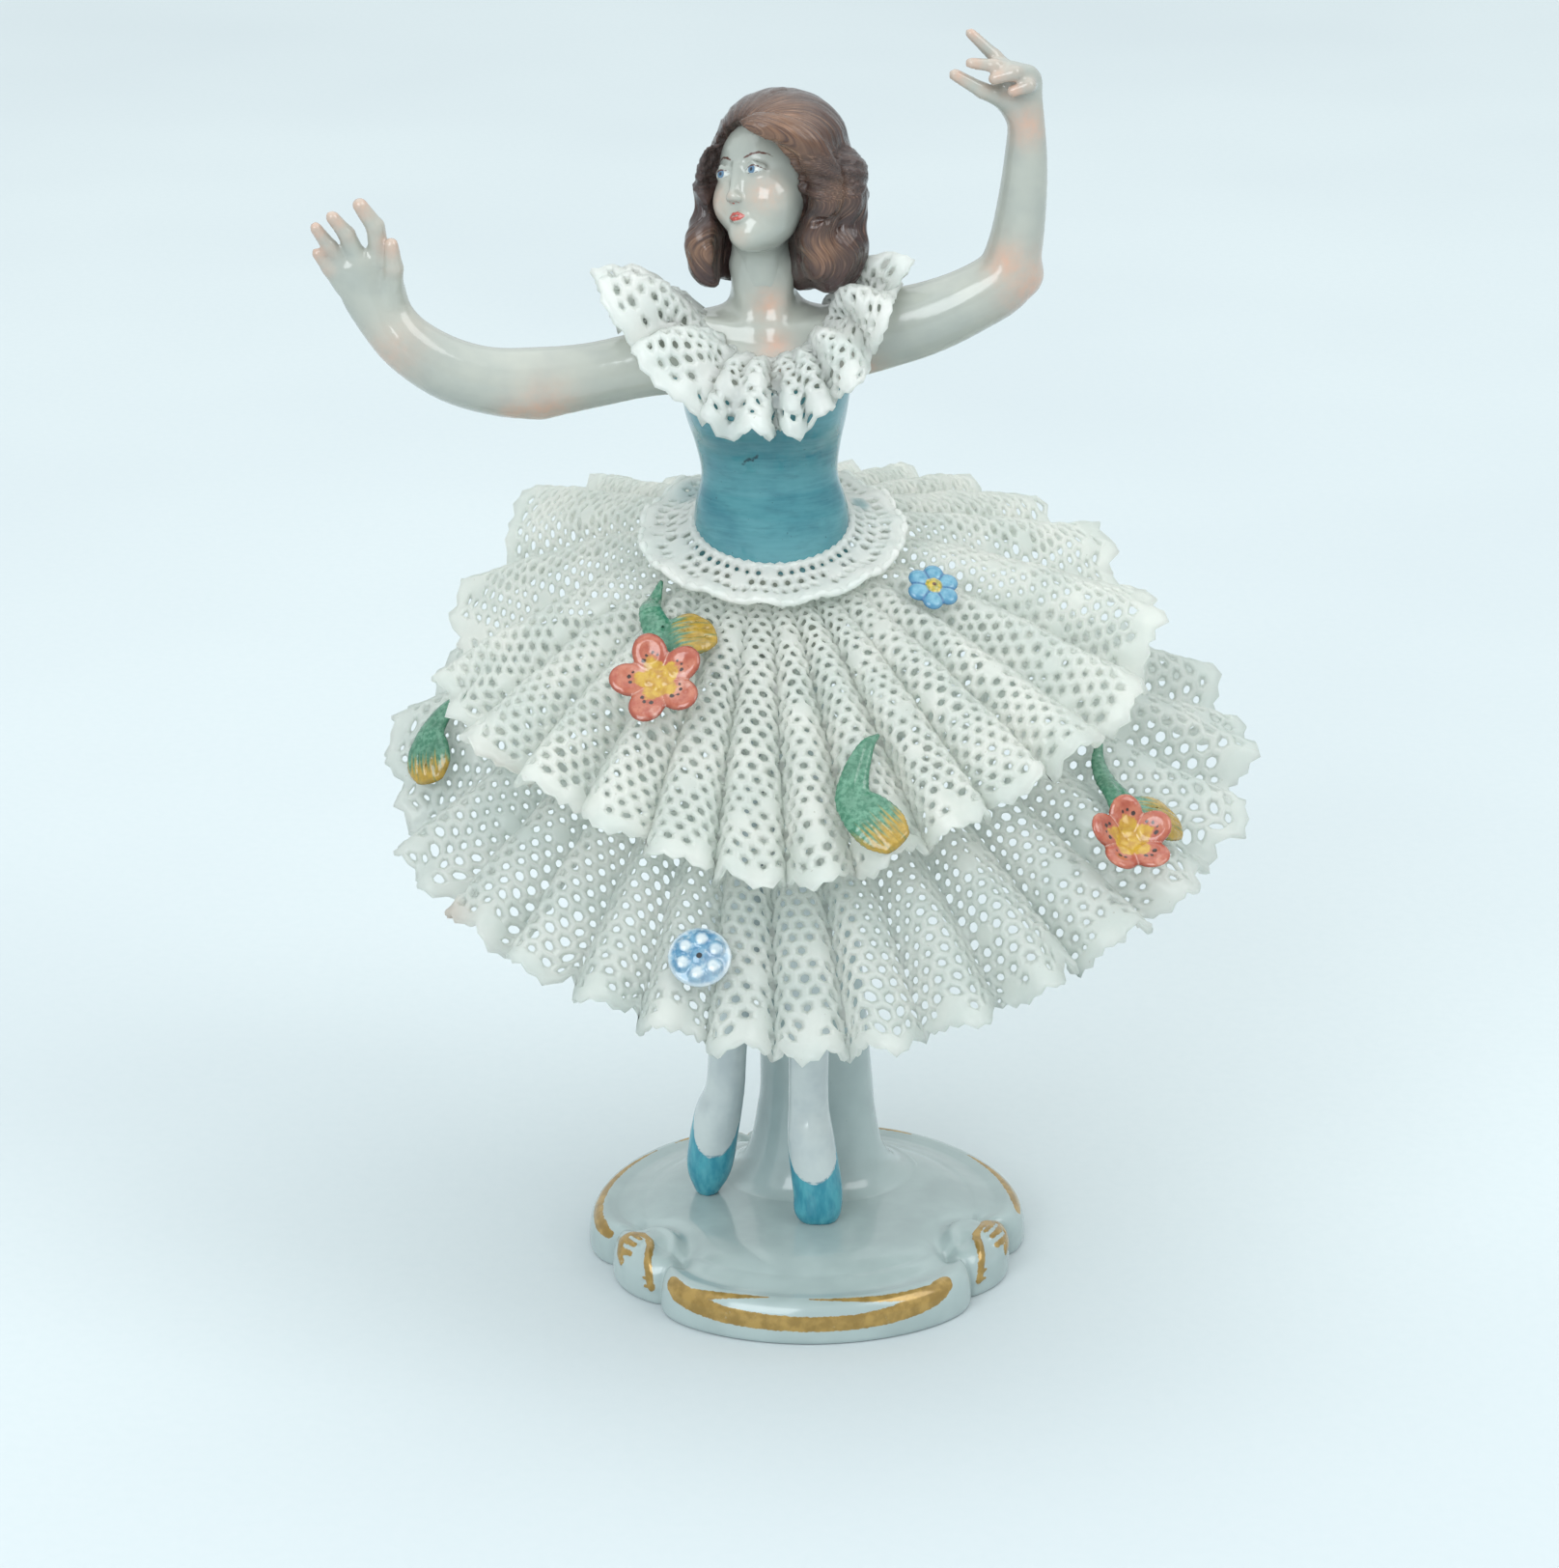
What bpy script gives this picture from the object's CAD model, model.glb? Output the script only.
import math

import bpy
import numpy as np
from mathutils import Matrix, Vector
from mathutils.geometry import delaunay_2d_cdt


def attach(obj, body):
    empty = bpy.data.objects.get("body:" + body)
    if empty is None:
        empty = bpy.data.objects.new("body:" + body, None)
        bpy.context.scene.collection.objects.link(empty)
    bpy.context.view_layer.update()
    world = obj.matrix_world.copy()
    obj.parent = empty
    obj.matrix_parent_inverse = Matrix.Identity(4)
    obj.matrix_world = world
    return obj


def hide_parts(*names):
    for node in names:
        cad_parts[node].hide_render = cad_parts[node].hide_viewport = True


# The figurine is worked out in millimetres in the part's frame: X to the right, Y away from the
# viewer, Z up, the origin in the middle of the base's underside. Its meshes are turned into metres
# when made. The setting at the end is in metres.
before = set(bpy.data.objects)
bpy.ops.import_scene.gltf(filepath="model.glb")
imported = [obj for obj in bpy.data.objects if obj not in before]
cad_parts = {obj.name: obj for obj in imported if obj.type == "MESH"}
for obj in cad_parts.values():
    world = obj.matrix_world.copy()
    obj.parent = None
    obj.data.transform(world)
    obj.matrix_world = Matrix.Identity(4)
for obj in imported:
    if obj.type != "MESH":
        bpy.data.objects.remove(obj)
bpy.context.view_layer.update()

# BASE: the moulded porcelain foot, slip-cast with three scrolls and three rim lobes, glazed bluish
# white. The gold on its rim and scrolls is painted over the glaze and fired last.
base_radius = 26.8
plate_top = 6.45
# Places of the three scrolls in degrees round the rim; the one on the right curls the other way.
right_scroll = 337
scroll_angles = (95, 209, right_scroll)
scroll_half_angle = 14.5
scroll_depth = 2.0
scroll_knob_radius = 23.4
# Radii on which the brush strokes of the rim and those of the scrolls are laid out.
rim_stroke_radius = 26
scroll_stroke_radius = 24
# What a mask of distances holds where no paint is near, in mm.
far_off = 9.0


def link_mesh(name, points, faces, node, masks):
    """A piece from points in mm and lists of faces, with its masks as numbers on the points."""
    mesh = bpy.data.meshes.new(name)
    mesh.from_pydata((np.asarray(points, float) / 1000).tolist(), [], [list(f) for f in faces])
    mesh.validate()
    mesh.polygons.foreach_set("use_smooth", [True] * len(mesh.polygons))
    for mask, values in masks.items():
        attribute = mesh.attributes.new(mask, "FLOAT", "POINT")
        attribute.data.foreach_set("value", np.asarray(values, np.float32))
    piece = bpy.data.objects.new(name, mesh)
    bpy.context.scene.collection.objects.link(piece)
    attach(piece, "root")
    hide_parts(node)
    return piece


def linear(colour):
    """A colour written as sRGB hex, as the linear values that shaders take."""
    parts = [int(colour[i : i + 2], 16) / 255 for i in (1, 3, 5)]
    return [p / 12.92 if p <= 0.04045 else ((p + 0.055) / 1.055) ** 2.4 for p in parts] + [1.0]


def add(tree, kind, inputs=None, **settings):
    """Adds a shader node with its settings; an input takes another node's output or a value."""
    node = tree.nodes.new("ShaderNode" + kind)
    for setting, value in settings.items():
        setattr(node, setting, value)
    for place, value in (inputs or {}).items():
        if isinstance(value, bpy.types.NodeSocket):
            tree.links.new(value, node.inputs[place])
        elif isinstance(value, str):
            node.inputs[place].default_value = linear(value)
        else:
            node.inputs[place].default_value = value
    return node


def new_material(name):
    """An empty material, its node tree and the place in mm on the piece that patterns follow."""
    material = bpy.data.materials.new(name)
    material.use_nodes = True
    tree = material.node_tree
    tree.nodes.clear()
    place = add(tree, "TexCoord").outputs["Object"]
    mm = add(tree, "VectorMath", {0: place, 1: (1000, 1000, 1000)}, operation="MULTIPLY").outputs[0]
    return material, tree, mm


def graded(tree, value, low, high, start=0.0, end=1.0):
    """A share that goes softly from start to end where a mask or a node's output goes from low to high."""
    if isinstance(value, str):
        value = add(tree, "Attribute", attribute_name=value).outputs["Fac"]
    inputs = {"Value": value, "From Min": low, "From Max": high, "To Min": start, "To Max": end}
    return add(tree, "MapRange", inputs, interpolation_type="SMOOTHSTEP").outputs["Result"]


def patches(tree, mm, size, low, high, start=0.0, end=1.0, detail=3.0, stretch=None):
    """Soft patches about size mm across: clouds in a glaze, dabs and drags of a brush, or specks."""
    if stretch:
        mm = add(tree, "VectorMath", {0: mm, 1: stretch}, operation="MULTIPLY").outputs[0]
    inputs = {"Vector": mm, "Scale": 1 / size, "Detail": detail, "Roughness": 0.55}
    return graded(tree, add(tree, "TexNoise", inputs).outputs["Fac"], low, high, start, end)


def painted(tree, mm, mask, soft, ragged=0.0, grain=0.8):
    """Where paint lies: the mask is the distance in mm outside its edge, which brushwork makes uneven."""
    distance = add(tree, "Attribute", attribute_name=mask).outputs["Fac"]
    if ragged:
        wobble = patches(tree, mm, grain, 0.25, 0.75, -ragged, ragged)
        distance = add(tree, "Math", {0: distance, 1: wobble}, operation="ADD").outputs[0]
    return graded(tree, distance, -soft, soft, 1.0, 0.0)


def laid_on(tree, colour, tone, cover, *shares):
    """A tone laid over a colour, as thickly as the product of its cover and further shares says."""
    for share in shares:
        cover = add(tree, "Math", {0: cover, 1: share}, operation="MULTIPLY").outputs[0]
    return add(tree, "Mix", {0: cover, 6: colour, 7: tone}, data_type="RGBA").outputs[2]


def glazed(
    tree, mm, colour, roughness=0.14, coat=0.35, metal=0.0, orange_peel=0.02, see_through=0.0, relief=None
):
    """Ends a material as fired glaze: a glossy coat whose surface has a faint orange peel."""
    peel = relief
    if relief is None:
        inputs = {"Vector": mm, "Scale": 1 / 0.9, "Detail": 2.0, "Roughness": 0.55}
        peel = add(tree, "TexNoise", inputs).outputs["Fac"]
    bump = add(tree, "Bump", {"Height": peel, "Distance": orange_peel / 1000, "Strength": 0.6}).outputs[0]
    inputs = {
        "Base Color": colour,
        "Roughness": patches(tree, mm, 3.0, 0.3, 0.7, roughness * 0.8, roughness * 1.25),
        "IOR": 1.5,
        "Metallic": metal,
        "Coat Weight": coat,
        "Coat Roughness": 0.05,
        "Coat IOR": 1.5,
        "Normal": bump,
    }
    shader = add(tree, "BsdfPrincipled", inputs).outputs[0]
    if see_through:
        through = add(tree, "BsdfTranslucent", {"Color": colour, "Normal": bump}).outputs[0]
        shader = add(tree, "MixShader", {0: see_through, 1: shader, 2: through}).outputs[0]
    add(tree, "OutputMaterial", {"Surface": shader})


def scroll_share(degrees):
    """0 at the middle of a scroll, 1 at its end."""
    away = [np.abs((degrees - middle + 180) % 360 - 180) for middle in scroll_angles]
    return np.min(away, axis=0) / scroll_half_angle


def base_outline(degrees):
    """How far out the rim lies: the scrolls stand in a little, and the lobes swell between them."""
    away = scroll_share(degrees)
    inside = base_radius - 0.7 * scroll_depth - 0.6 * scroll_depth * np.minimum(away, 1) ** 2
    outside = base_radius - 1.3 * scroll_depth * np.exp(-2.4 * (np.maximum(away, 1) - 1))
    return np.where(away < 1, inside, outside)


# Rim profile from the foot to the plate: distance in from the outline, height.
rim_profile = [
    [1.3, 0.0], [0.7, 0.0], [0.25, 0.12], [0.05, 0.5], [0.0, 1.1], [0.03, 1.9], [0.12, 2.7],
    [0.3, 3.5], [0.6, 4.2], [1.05, 4.75], [1.6, 5.05], [2.2, 5.12], [2.9, 5.0], [3.6, 4.88],
]
# The plate slopes up gently from the rim: radius, height, share of the scrolls' hoods that it takes.
plate_slope = [
    [19.9, 5.55, 0.75], [19.0, 5.85, 0.55], [17.8, 6.15, 0.3], [16.4, 6.36, 0.12], [15, plate_top, 0.03],
    [12, plate_top, 0], [8, plate_top, 0], [4, plate_top, 0], [0.4, plate_top, 0],
]
# Gold strokes on the rim: [degrees, length up the profile from the foot's edge, half width] in mm.
gold_strokes = [
    [[230.5, 4.5, 1.0], [233, 4.1, 1.25], [237, 3.75, 1.25], [242, 3.3, 1.1], [248, 3.0, 1.0],
     [258, 2.8, 0.94], [270, 2.7, 0.9], [282, 2.75, 0.92], [291, 3.0, 1.0], [298, 3.5, 1.15],
     [303, 4.0, 1.3], [306.5, 4.5, 1.25], [309, 4.9, 1.0]],
    [[238, 4.4, 0.7], [243, 4.9, 0.56], [248, 5.35, 0.42], [254, 5.7, 0.28], [259, 5.95, 0.1]],
    [[302, 4.7, 0.8], [296, 4.9, 0.6], [289, 5.2, 0.44], [279, 5.65, 0.28], [270, 5.9, 0.1]],
    [[192, 4.0, 0.6], [188, 4.4, 0.85], [181, 4.9, 0.8], [172, 5.4, 0.6], [160, 5.8, 0.42],
     [149, 6.0, 0.26], [139, 6.1, 0.08]],
    [[1, 4.6, 0.6], [5, 5.0, 0.8], [12, 5.4, 0.75], [20, 5.7, 0.5], [28, 5.9, 0.32], [37, 6.0, 0.08]],
    [[108, 4.9, 0.6], [116, 5.4, 0.7], [124, 5.9, 0.4], [132, 6.1, 0.08]],
    [[82, 4.9, 0.6], [74, 5.4, 0.7], [66, 5.9, 0.4], [58, 6.1, 0.08]],
]
# A scroll's hook, from its foot in front up over the hood and down behind, with its fingers and nicks:
# [degrees from its middle towards the front, length, half width].
scroll_strokes = [
    [[12.0, 2.2, 0.45], [10.5, 3.8, 0.48], [7.8, 5.4, 0.48], [4.6, 6.8, 0.48], [1.0, 7.5, 0.52],
     [-2.6, 7.3, 0.58], [-5.0, 6.2, 0.65], [-5.2, 5.0, 0.68], [-3.4, 4.0, 0.6], [-1.0, 3.4, 0.45]],
    [[-4.8, 6.2, 0.4], [0.4, 6.5, 0.26]], [[-4.8, 5.15, 0.42], [1.0, 5.5, 0.28]],
    [[-4.2, 4.1, 0.4], [1.6, 4.5, 0.26]], [[11.6, 3.1, 0.3], [9.0, 3.1, 0.14]],
    [[12.0, 2.4, 0.3], [9.8, 2.2, 0.14]],
]


def line_gap(x, y, line):
    """Distance in a plane to a brush line [x, y, half width], less its half width."""
    best = np.full(x.shape, 99.0)
    for first, last in zip(line[:-1], line[1:]):
        run = np.subtract(last, first)
        part = np.clip(((x - first[0]) * run[0] + (y - first[1]) * run[1]) / (run[:2] @ run[:2]), 0, 1)
        gap = np.hypot(x - first[0] - part * run[0], y - first[1] - part * run[1])
        best = np.minimum(best, gap - (first[2] + part * run[2]))
    return best


def stroke_gap(degrees, up, stroke, radius):
    """Distance in mm to a brush stroke that is given in degrees round the rim and in mm up it."""
    start = stroke[0][0]
    around = np.radians((degrees - start + 180) % 360 - 180) * radius
    line = [[math.radians(turned - start) * radius, length, half] for turned, length, half in stroke]
    return line_gap(around, up, line)


def grid_faces(rows, columns):
    """Quads between rows of points that go round."""
    row = np.arange(rows - 1)[:, None] * columns
    left = row + np.arange(columns)
    right = row + (np.arange(columns) + 1) % columns
    return np.stack([left, right, right + columns, left + columns], -1).reshape(-1, 4).tolist()


def closed_piece(name, rings, bottom, top, gold):
    """A piece of the base from rings of points, closed by a point below and a point on top."""
    rows, columns = len(rings), len(rings[0])
    below = rows * columns
    last = below - columns
    faces = grid_faces(rows, columns)
    faces += [[below, (i + 1) % columns, i] for i in range(columns)]
    faces += [[below + 1, last + i, last + (i + 1) % columns] for i in range(columns)]
    points = np.vstack([*rings, [bottom, top]])
    return link_mesh(name, points, faces, "base", {"gold": gold})


def smooth_line(stations, count):
    """A Catmull-Rom curve through the stations, count points along it."""
    points = np.array(stations, float)
    padded = np.vstack([2 * points[0] - points[1], points, 2 * points[-1] - points[-2]])
    place = np.linspace(0, len(points) - 1, count)
    index = np.minimum(place.astype(int), len(points) - 2)
    t = (place - index)[:, None]
    a, b, c, d = (padded[index + k] for k in range(4))
    return 0.5 * (2 * b + (c - a) * t + (2 * a - 5 * b + 4 * c - d) * t**2 + (3 * b - a - 3 * c + d) * t**3)


def build_base():
    columns = 540
    degrees = np.arange(columns) * 360 / columns
    angle = np.radians(degrees)
    outline = base_outline(degrees)
    away = scroll_share(degrees)
    hood = np.cos(np.minimum(away, 1) * math.pi / 2) ** 1.3
    crease = 0.45 * np.exp(-(((away - 1) * 6.4 / 0.4) ** 2))

    def ring(reach, z):
        return np.stack([reach * np.cos(angle), reach * np.sin(angle), z], -1)

    profile = smooth_line(rim_profile, 57)
    length = np.concatenate([[0], np.cumsum(np.hypot(*np.diff(profile, axis=0).T))])
    length -= length[8]
    rings, gold = [], []
    for (inset, height), up in zip(profile, length):
        level = np.full(columns, up)
        gaps = [stroke_gap(degrees, level, stroke, rim_stroke_radius) for stroke in gold_strokes]
        ridge = np.full(columns, 99.0)
        dent = np.zeros(columns)
        for middle in scroll_angles:
            front, wider = (-1, 1.9) if middle == right_scroll else (1, 1)
            for stroke in scroll_strokes:
                turned = [[middle + front * a * (wider if a < 0 else 1), *rest] for a, *rest in stroke]
                ridge = np.minimum(ridge, stroke_gap(degrees, level, turned, scroll_stroke_radius))
            across = ((degrees - middle - front * 2.5 + 180) % 360 - 180) * 0.42
            dent -= 0.4 * np.exp(-((across / 1.5) ** 2) - ((up - 5.0) / 1.5) ** 2)
        rise = 0.32 * np.exp(-((np.maximum(ridge + 0.25, 0) / 0.4) ** 2)) + dent
        lift = hood * np.interp(up, [2.5, 5.0, 7.5], [0, 0.75, 1.15])
        reach = outline - inset + rise * np.interp(up, [0, 4.4, 6.5], [1, 0.8, 0.1])
        reach = reach - crease * np.interp(up, [0, 5, 7], [1, 0.8, 0])
        z = np.maximum(0, height) + lift + rise * np.interp(up, [2, 4.6, 6.5], [0, 0.6, 1.0])
        rings.append(ring(reach, z))
        gold.append(np.min([*gaps, ridge], axis=0))

    plate = smooth_line(plate_slope, 42)
    rim_reach = np.hypot(rings[-1][:, 0], rings[-1][:, 1])
    rim_height = rings[-1][:, 2]
    radius, height, lifted = plate[0]
    for share in (0.12, 0.25, 0.38, 0.5, 0.62, 0.75, 0.88):
        eased = share * share * (3 - 2 * share)
        z = rim_height + (height + lifted * hood - rim_height) * eased
        rings.append(ring(rim_reach + (radius - rim_reach) * share, z))
    rings += [ring(radius, height + lifted * hood) for radius, height, lifted in plate]

    # Behind each scroll's hood lies a crescent hollow with a low ridge inside it.
    rings = np.array(rings)
    reach = np.hypot(rings[..., 0], rings[..., 1])
    for middle in scroll_angles:
        knob = math.radians(middle + (-2 if middle == right_scroll else 2))
        knob_x, knob_y = scroll_knob_radius * math.cos(knob), scroll_knob_radius * math.sin(knob)
        away = np.hypot(rings[..., 0] - knob_x, rings[..., 1] - knob_y)
        relief = 0.3 * np.exp(-(((away - 4.2) / 0.6) ** 2)) - 0.6 * np.exp(-(((away - 5.9) / 1.1) ** 2))
        rings[..., 2] += relief * np.clip((23.2 - reach) / 2.0, 0, 1) * (rings[..., 2] > 3)
    unpainted = np.full((len(rings) - len(gold)) * columns + 2, far_off)
    gold = np.concatenate([*gold, unpainted])
    return closed_piece("base_plinth", rings, [0, 0, 0], [0, 0, plate_top], gold)


base_plinth = build_base()

# Stations of the support column [z, x, y, half width, half depth]; its foot spreads into the plate.
column_stations = [
    [5.4, 1.0, 8.0, 12.9, 10.6], [6.3, 1.0, 8.0, 12.7, 10.4], [6.5, 1.0, 8.0, 11.7, 9.7],
    [6.85, 1.0, 7.9, 10.8, 9.1], [7.5, 1.0, 7.9, 9.8, 8.5], [8.7, 1.0, 7.8, 8.8, 7.8],
    [11, 1.0, 7.7, 7.9, 7.0], [15, 1.0, 7.6, 7.2, 6.3], [19.5, 1.0, 7.4, 6.8, 6.0],
    [32, 0.3, 7.2, 6.4, 5.5], [44.8, -0.5, 7, 5.9, 4.9], [60, -1.6, 6, 5, 3.9], [74.6, -2.6, 5, 4.1, 2.8],
]


def build_column():
    columns = 72
    angle = np.arange(columns) * 2 * math.pi / columns
    rings = [
        np.stack([x + hx * np.cos(angle), y + hy * np.sin(angle), np.full(columns, z)], -1)
        for z, x, y, hx, hy in smooth_line(column_stations, 90)
    ]
    unpainted = np.full(len(rings) * columns + 2, far_off)
    return closed_piece("base_column", rings, [1, 8, 5.4], [-2.6, 5, 74.7], unpainted)


base_column = build_column()

# Cool white glaze with a faint blue-grey cast, greyer in broad clouds, and pinholes the size of
# a grain of sand; the gilding is bright, worn thin in spots, with fine brush drag along it.
base_glaze, tree, mm = new_material("cool white glaze with gilding")
colour = laid_on(tree, "#A4B3B2", "#99A8A7", patches(tree, mm, 9.0, 0.35, 0.7))
colour = laid_on(tree, colour, "#98A5A5", patches(tree, mm, 0.5, 0.74, 0.8, 0.0, 0.5, detail=1.0))
gilding = painted(tree, mm, "gold", 0.06, ragged=0.07, grain=0.5)
worn = patches(tree, mm, 1.1, 0.2, 0.34, 0.5)
gilding = add(tree, "Math", {0: gilding, 1: worn}, operation="MULTIPLY").outputs[0]
metal = add(tree, "Math", {0: gilding, 1: 0.3}, operation="MULTIPLY").outputs[0]
gold_tone = laid_on(tree, "#AA8B4B", "#8F7339", patches(tree, mm, 1.6, 0.35, 0.65))
glazed(tree, mm, laid_on(tree, colour, gold_tone, gilding), roughness=0.16, metal=metal, coat=0.3)
for piece in (base_plinth, base_column):
    piece.data.materials.append(base_glaze)

# FIGURE: the dancer, slip-cast in one with her hair, arms, legs and pumps, her hands luted on and
# smoothed. White glaze all over; bodice, pumps, hair, face and the blush of the skin are painted on.


def new_grid(low, high, step):
    """A block of points on which a solid is kept as its distance in mm, negative inside."""
    axes = [np.arange(a, b + step, step) for a, b in zip(low, high)]
    return {"axes": axes, "step": step, "field": np.full([len(a) for a in axes], 40.0, np.float32)}


def window(grid, low, high):
    """The part of the grid between two corners, and its coordinates."""
    cuts = []
    for axis, a, b in zip(grid["axes"], low, high):
        first, last = np.searchsorted(axis, [a, b])
        cuts.append(slice(max(0, first - 1), min(len(axis), last + 1)))
    x, y, z = (axis[cut].astype(np.float32) for axis, cut in zip(grid["axes"], cuts))
    return tuple(cuts), x[:, None, None], y[None, :, None], z[None, None, :]


def join(grid, form, blend=0.4):
    """Joins a form to the solid, softly over blend mm."""
    low, high, distance = form
    cuts, x, y, z = window(grid, np.array(low) - blend - 1, np.array(high) + blend + 1)
    new, old = distance(x, y, z), grid["field"][cuts]
    share = np.clip(0.5 + 0.5 * (old - new) / blend, 0, 1)
    grid["field"][cuts] = old + (new - old) * share - blend * share * (1 - share)


def cut_away(grid, form, blend=0.3):
    """Cuts a form out of the solid, its edge softened over blend mm."""
    low, high, distance = form
    cuts, x, y, z = window(grid, np.array(low) - blend - 1, np.array(high) + blend + 1)
    new, old = distance(x, y, z), grid["field"][cuts]
    share = np.clip(0.5 - 0.5 * (old + new) / blend, 0, 1)
    grid["field"][cuts] = old - (new + old) * share + blend * share * (1 - share)


def oval(centre, halves, turn=None):
    """An oval with its half widths along the rows of turn."""
    centre = np.array(centre, float)
    turn = np.eye(3) if turn is None else np.array(turn)

    def distance(x, y, z):
        dx, dy, dz = x - centre[0], y - centre[1], z - centre[2]
        total = 0
        for row, half in zip(turn, halves):
            total = total + ((dx * row[0] + dy * row[1] + dz * row[2]) / half) ** 2
        return (np.sqrt(total) - 1) * min(halves)

    return centre - max(halves), centre + max(halves), distance


def rod(first, last, start, end):
    """A rod with round ends between two points, its radius going from start to end."""
    first, last = np.array(first, float), np.array(last, float)
    run = last - first
    reach = max(start, end)

    def distance(x, y, z):
        dx, dy, dz = x - first[0], y - first[1], z - first[2]
        part = np.clip((dx * run[0] + dy * run[1] + dz * run[2]) / (run @ run), 0, 1)
        gap = np.sqrt((dx - part * run[0]) ** 2 + (dy - part * run[1]) ** 2 + (dz - part * run[2]) ** 2)
        return gap - (start + part * (end - start))

    return np.minimum(first, last) - reach, np.maximum(first, last) + reach, distance


def join_limb(grid, stations, sideways, samples, blend=0.08, first_blend=None, cutting=False):
    """A limb along stations [x, y, z, half width, half depth], joined piece by piece."""
    rows = smooth_line([[*s, s[3]] if len(s) == 4 else s for s in stations], samples)
    sideways = np.array(sideways, float)
    for index, (a, b) in enumerate(zip(rows[:-1], rows[1:])):
        run = b[:3] - a[:3]
        along = run / np.linalg.norm(run)
        depthways = np.cross(along, sideways)
        depthways /= np.linalg.norm(depthways)
        widthways = np.cross(depthways, along)
        half = np.maximum(a[3:5], b[3:5]).max()

        def distance(x, y, z):
            dx, dy, dz = x - a[0], y - a[1], z - a[2]
            part = np.clip((dx * run[0] + dy * run[1] + dz * run[2]) / (run @ run), 0, 1)
            dx, dy, dz = dx - part * run[0], dy - part * run[1], dz - part * run[2]
            wide = a[3] + part * (b[3] - a[3])
            deep = a[4] + part * (b[4] - a[4])
            least = np.minimum(wide, deep)
            u = (dx * widthways[0] + dy * widthways[1] + dz * widthways[2]) / wide
            v = (dx * depthways[0] + dy * depthways[1] + dz * depthways[2]) / deep
            w = (dx * along[0] + dy * along[1] + dz * along[2]) / least
            return (np.sqrt(u * u + v * v + w * w) - 1) * least

        form = (np.minimum(a[:3], b[:3]) - half, np.maximum(a[:3], b[:3]) + half, distance)
        if cutting:
            cut_away(grid, form, blend)
        else:
            join(grid, form, first_blend if first_blend and index == 0 else blend)


def join_levels(grid, levels):
    """A form of level ovals [z, centre x, centre y, half width, half depth]."""
    rows = smooth_line(levels, 160)
    rows = rows[np.argsort(rows[:, 0])]
    reach = np.abs(rows[:, 3:5]).max()
    low = [rows[:, 1].min() - reach, rows[:, 2].min() - reach, rows[0, 0]]
    high = [rows[:, 1].max() + reach, rows[:, 2].max() + reach, rows[-1, 0]]

    def distance(x, y, z):
        cx, cy, hx, hy = (np.interp(z, rows[:, 0], rows[:, k]) for k in (1, 2, 3, 4))
        least = np.minimum(hx, hy)
        around = (np.sqrt(((x - cx) / hx) ** 2 + ((y - cy) / hy) ** 2) - 1) * least
        return np.maximum(around, np.maximum(rows[0, 0] - z, z - rows[-1, 0]))

    join(grid, (low, high, distance))


def netted(grid):
    """The sampled solid as points and quads: one point in each cell that the surface crosses."""
    field = grid["field"]
    shape = np.array(field.shape) - 1
    cells, spots, quads = [], [], []
    for axis in range(3):
        first = np.take(field, range(shape[axis]), axis)
        second = np.take(field, range(1, shape[axis] + 1), axis)
        crossing = np.argwhere((first < 0) != (second < 0))
        others = [k for k in range(3) if k != axis]
        clear = (crossing[:, others] > 0).all(1) & (crossing[:, others] < shape[others]).all(1)
        crossing = crossing[clear]
        at = tuple(crossing.T)
        spot = crossing.astype(float)
        spot[:, axis] += first[at] / (first[at] - second[at])
        ring = []
        for low, high in ((0, 0), (1, 0), (1, 1), (0, 1)):
            cell = crossing.copy()
            cell[:, others[0]] -= low
            cell[:, others[1]] -= high
            ring.append(np.ravel_multi_index(cell.T, shape))
        ring = np.stack(ring, 1)
        cells.append(ring)
        spots.append(np.repeat(spot, 4, axis=0))
        back = (first[at] > 0) != (axis == 1)
        quads.append(np.where(back[:, None], ring[:, ::-1], ring))
    every = np.concatenate([c.ravel() for c in cells])
    names, index = np.unique(every, return_inverse=True)
    spots = np.concatenate(spots)
    count = np.bincount(index)
    points = np.stack([np.bincount(index, spots[:, k]) / count for k in range(3)], -1)
    points = points * grid["step"] + np.array([axis[0] for axis in grid["axes"]])
    faces = np.searchsorted(names, np.concatenate(quads))

    # Loose crumbs are dropped: every point takes the lowest number that its piece holds.
    piece, before = np.arange(len(points)), None
    while before is None or (piece != before).any():
        before = piece.copy()
        np.minimum.at(piece, faces, before[faces].min(1)[:, None])
        piece = piece[piece]
    kept = np.bincount(piece, minlength=len(points))[piece] > 0.02 * len(points)
    return points[kept], (np.cumsum(kept) - 1)[faces[kept[faces[:, 0]]]]


def spot_near(points, places):
    """A soft mask, 1 at each place [x, y, z, reach] and fading out over its reach."""
    total = np.zeros(len(points))
    for x, y, z, reach in places:
        gap = np.linalg.norm(points - [x, y, z], axis=1)
        total = np.maximum(total, np.exp(-((gap / reach) ** 2)))
    return total


torso_levels = [
    [75, -4, 0.5, 7.0, 6.0], [80, -4, 0.5, 8.5, 7.3], [86, -4.2, 0, 9.0, 7.8], [91, -4.3, -0.5, 9.0, 7.6],
    [94.5, -4.4, -0.8, 8.7, 7.1], [98.3, -4.6, -1, 7.8, 6.4], [102, -4.8, -1.2, 8.3, 7.0],
    [105.6, -5, -1.6, 9.2, 8.2], [109, -5, -1.4, 9.7, 7.7], [112.4, -5, -0.3, 10.4, 6.2],
    [114.8, -4.9, 0.5, 10.2, 4.8], [116.4, -4.9, 0.8, 7.6, 4.0], [117.8, -5, 0.8, 4.6, 3.6],
    [120.2, -5.4, 0.6, 3.5, 3.4], [123.5, -5.5, 0.4, 3.35, 3.3], [127, -5.6, 0.2, 3.4, 3.3],
]
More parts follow.
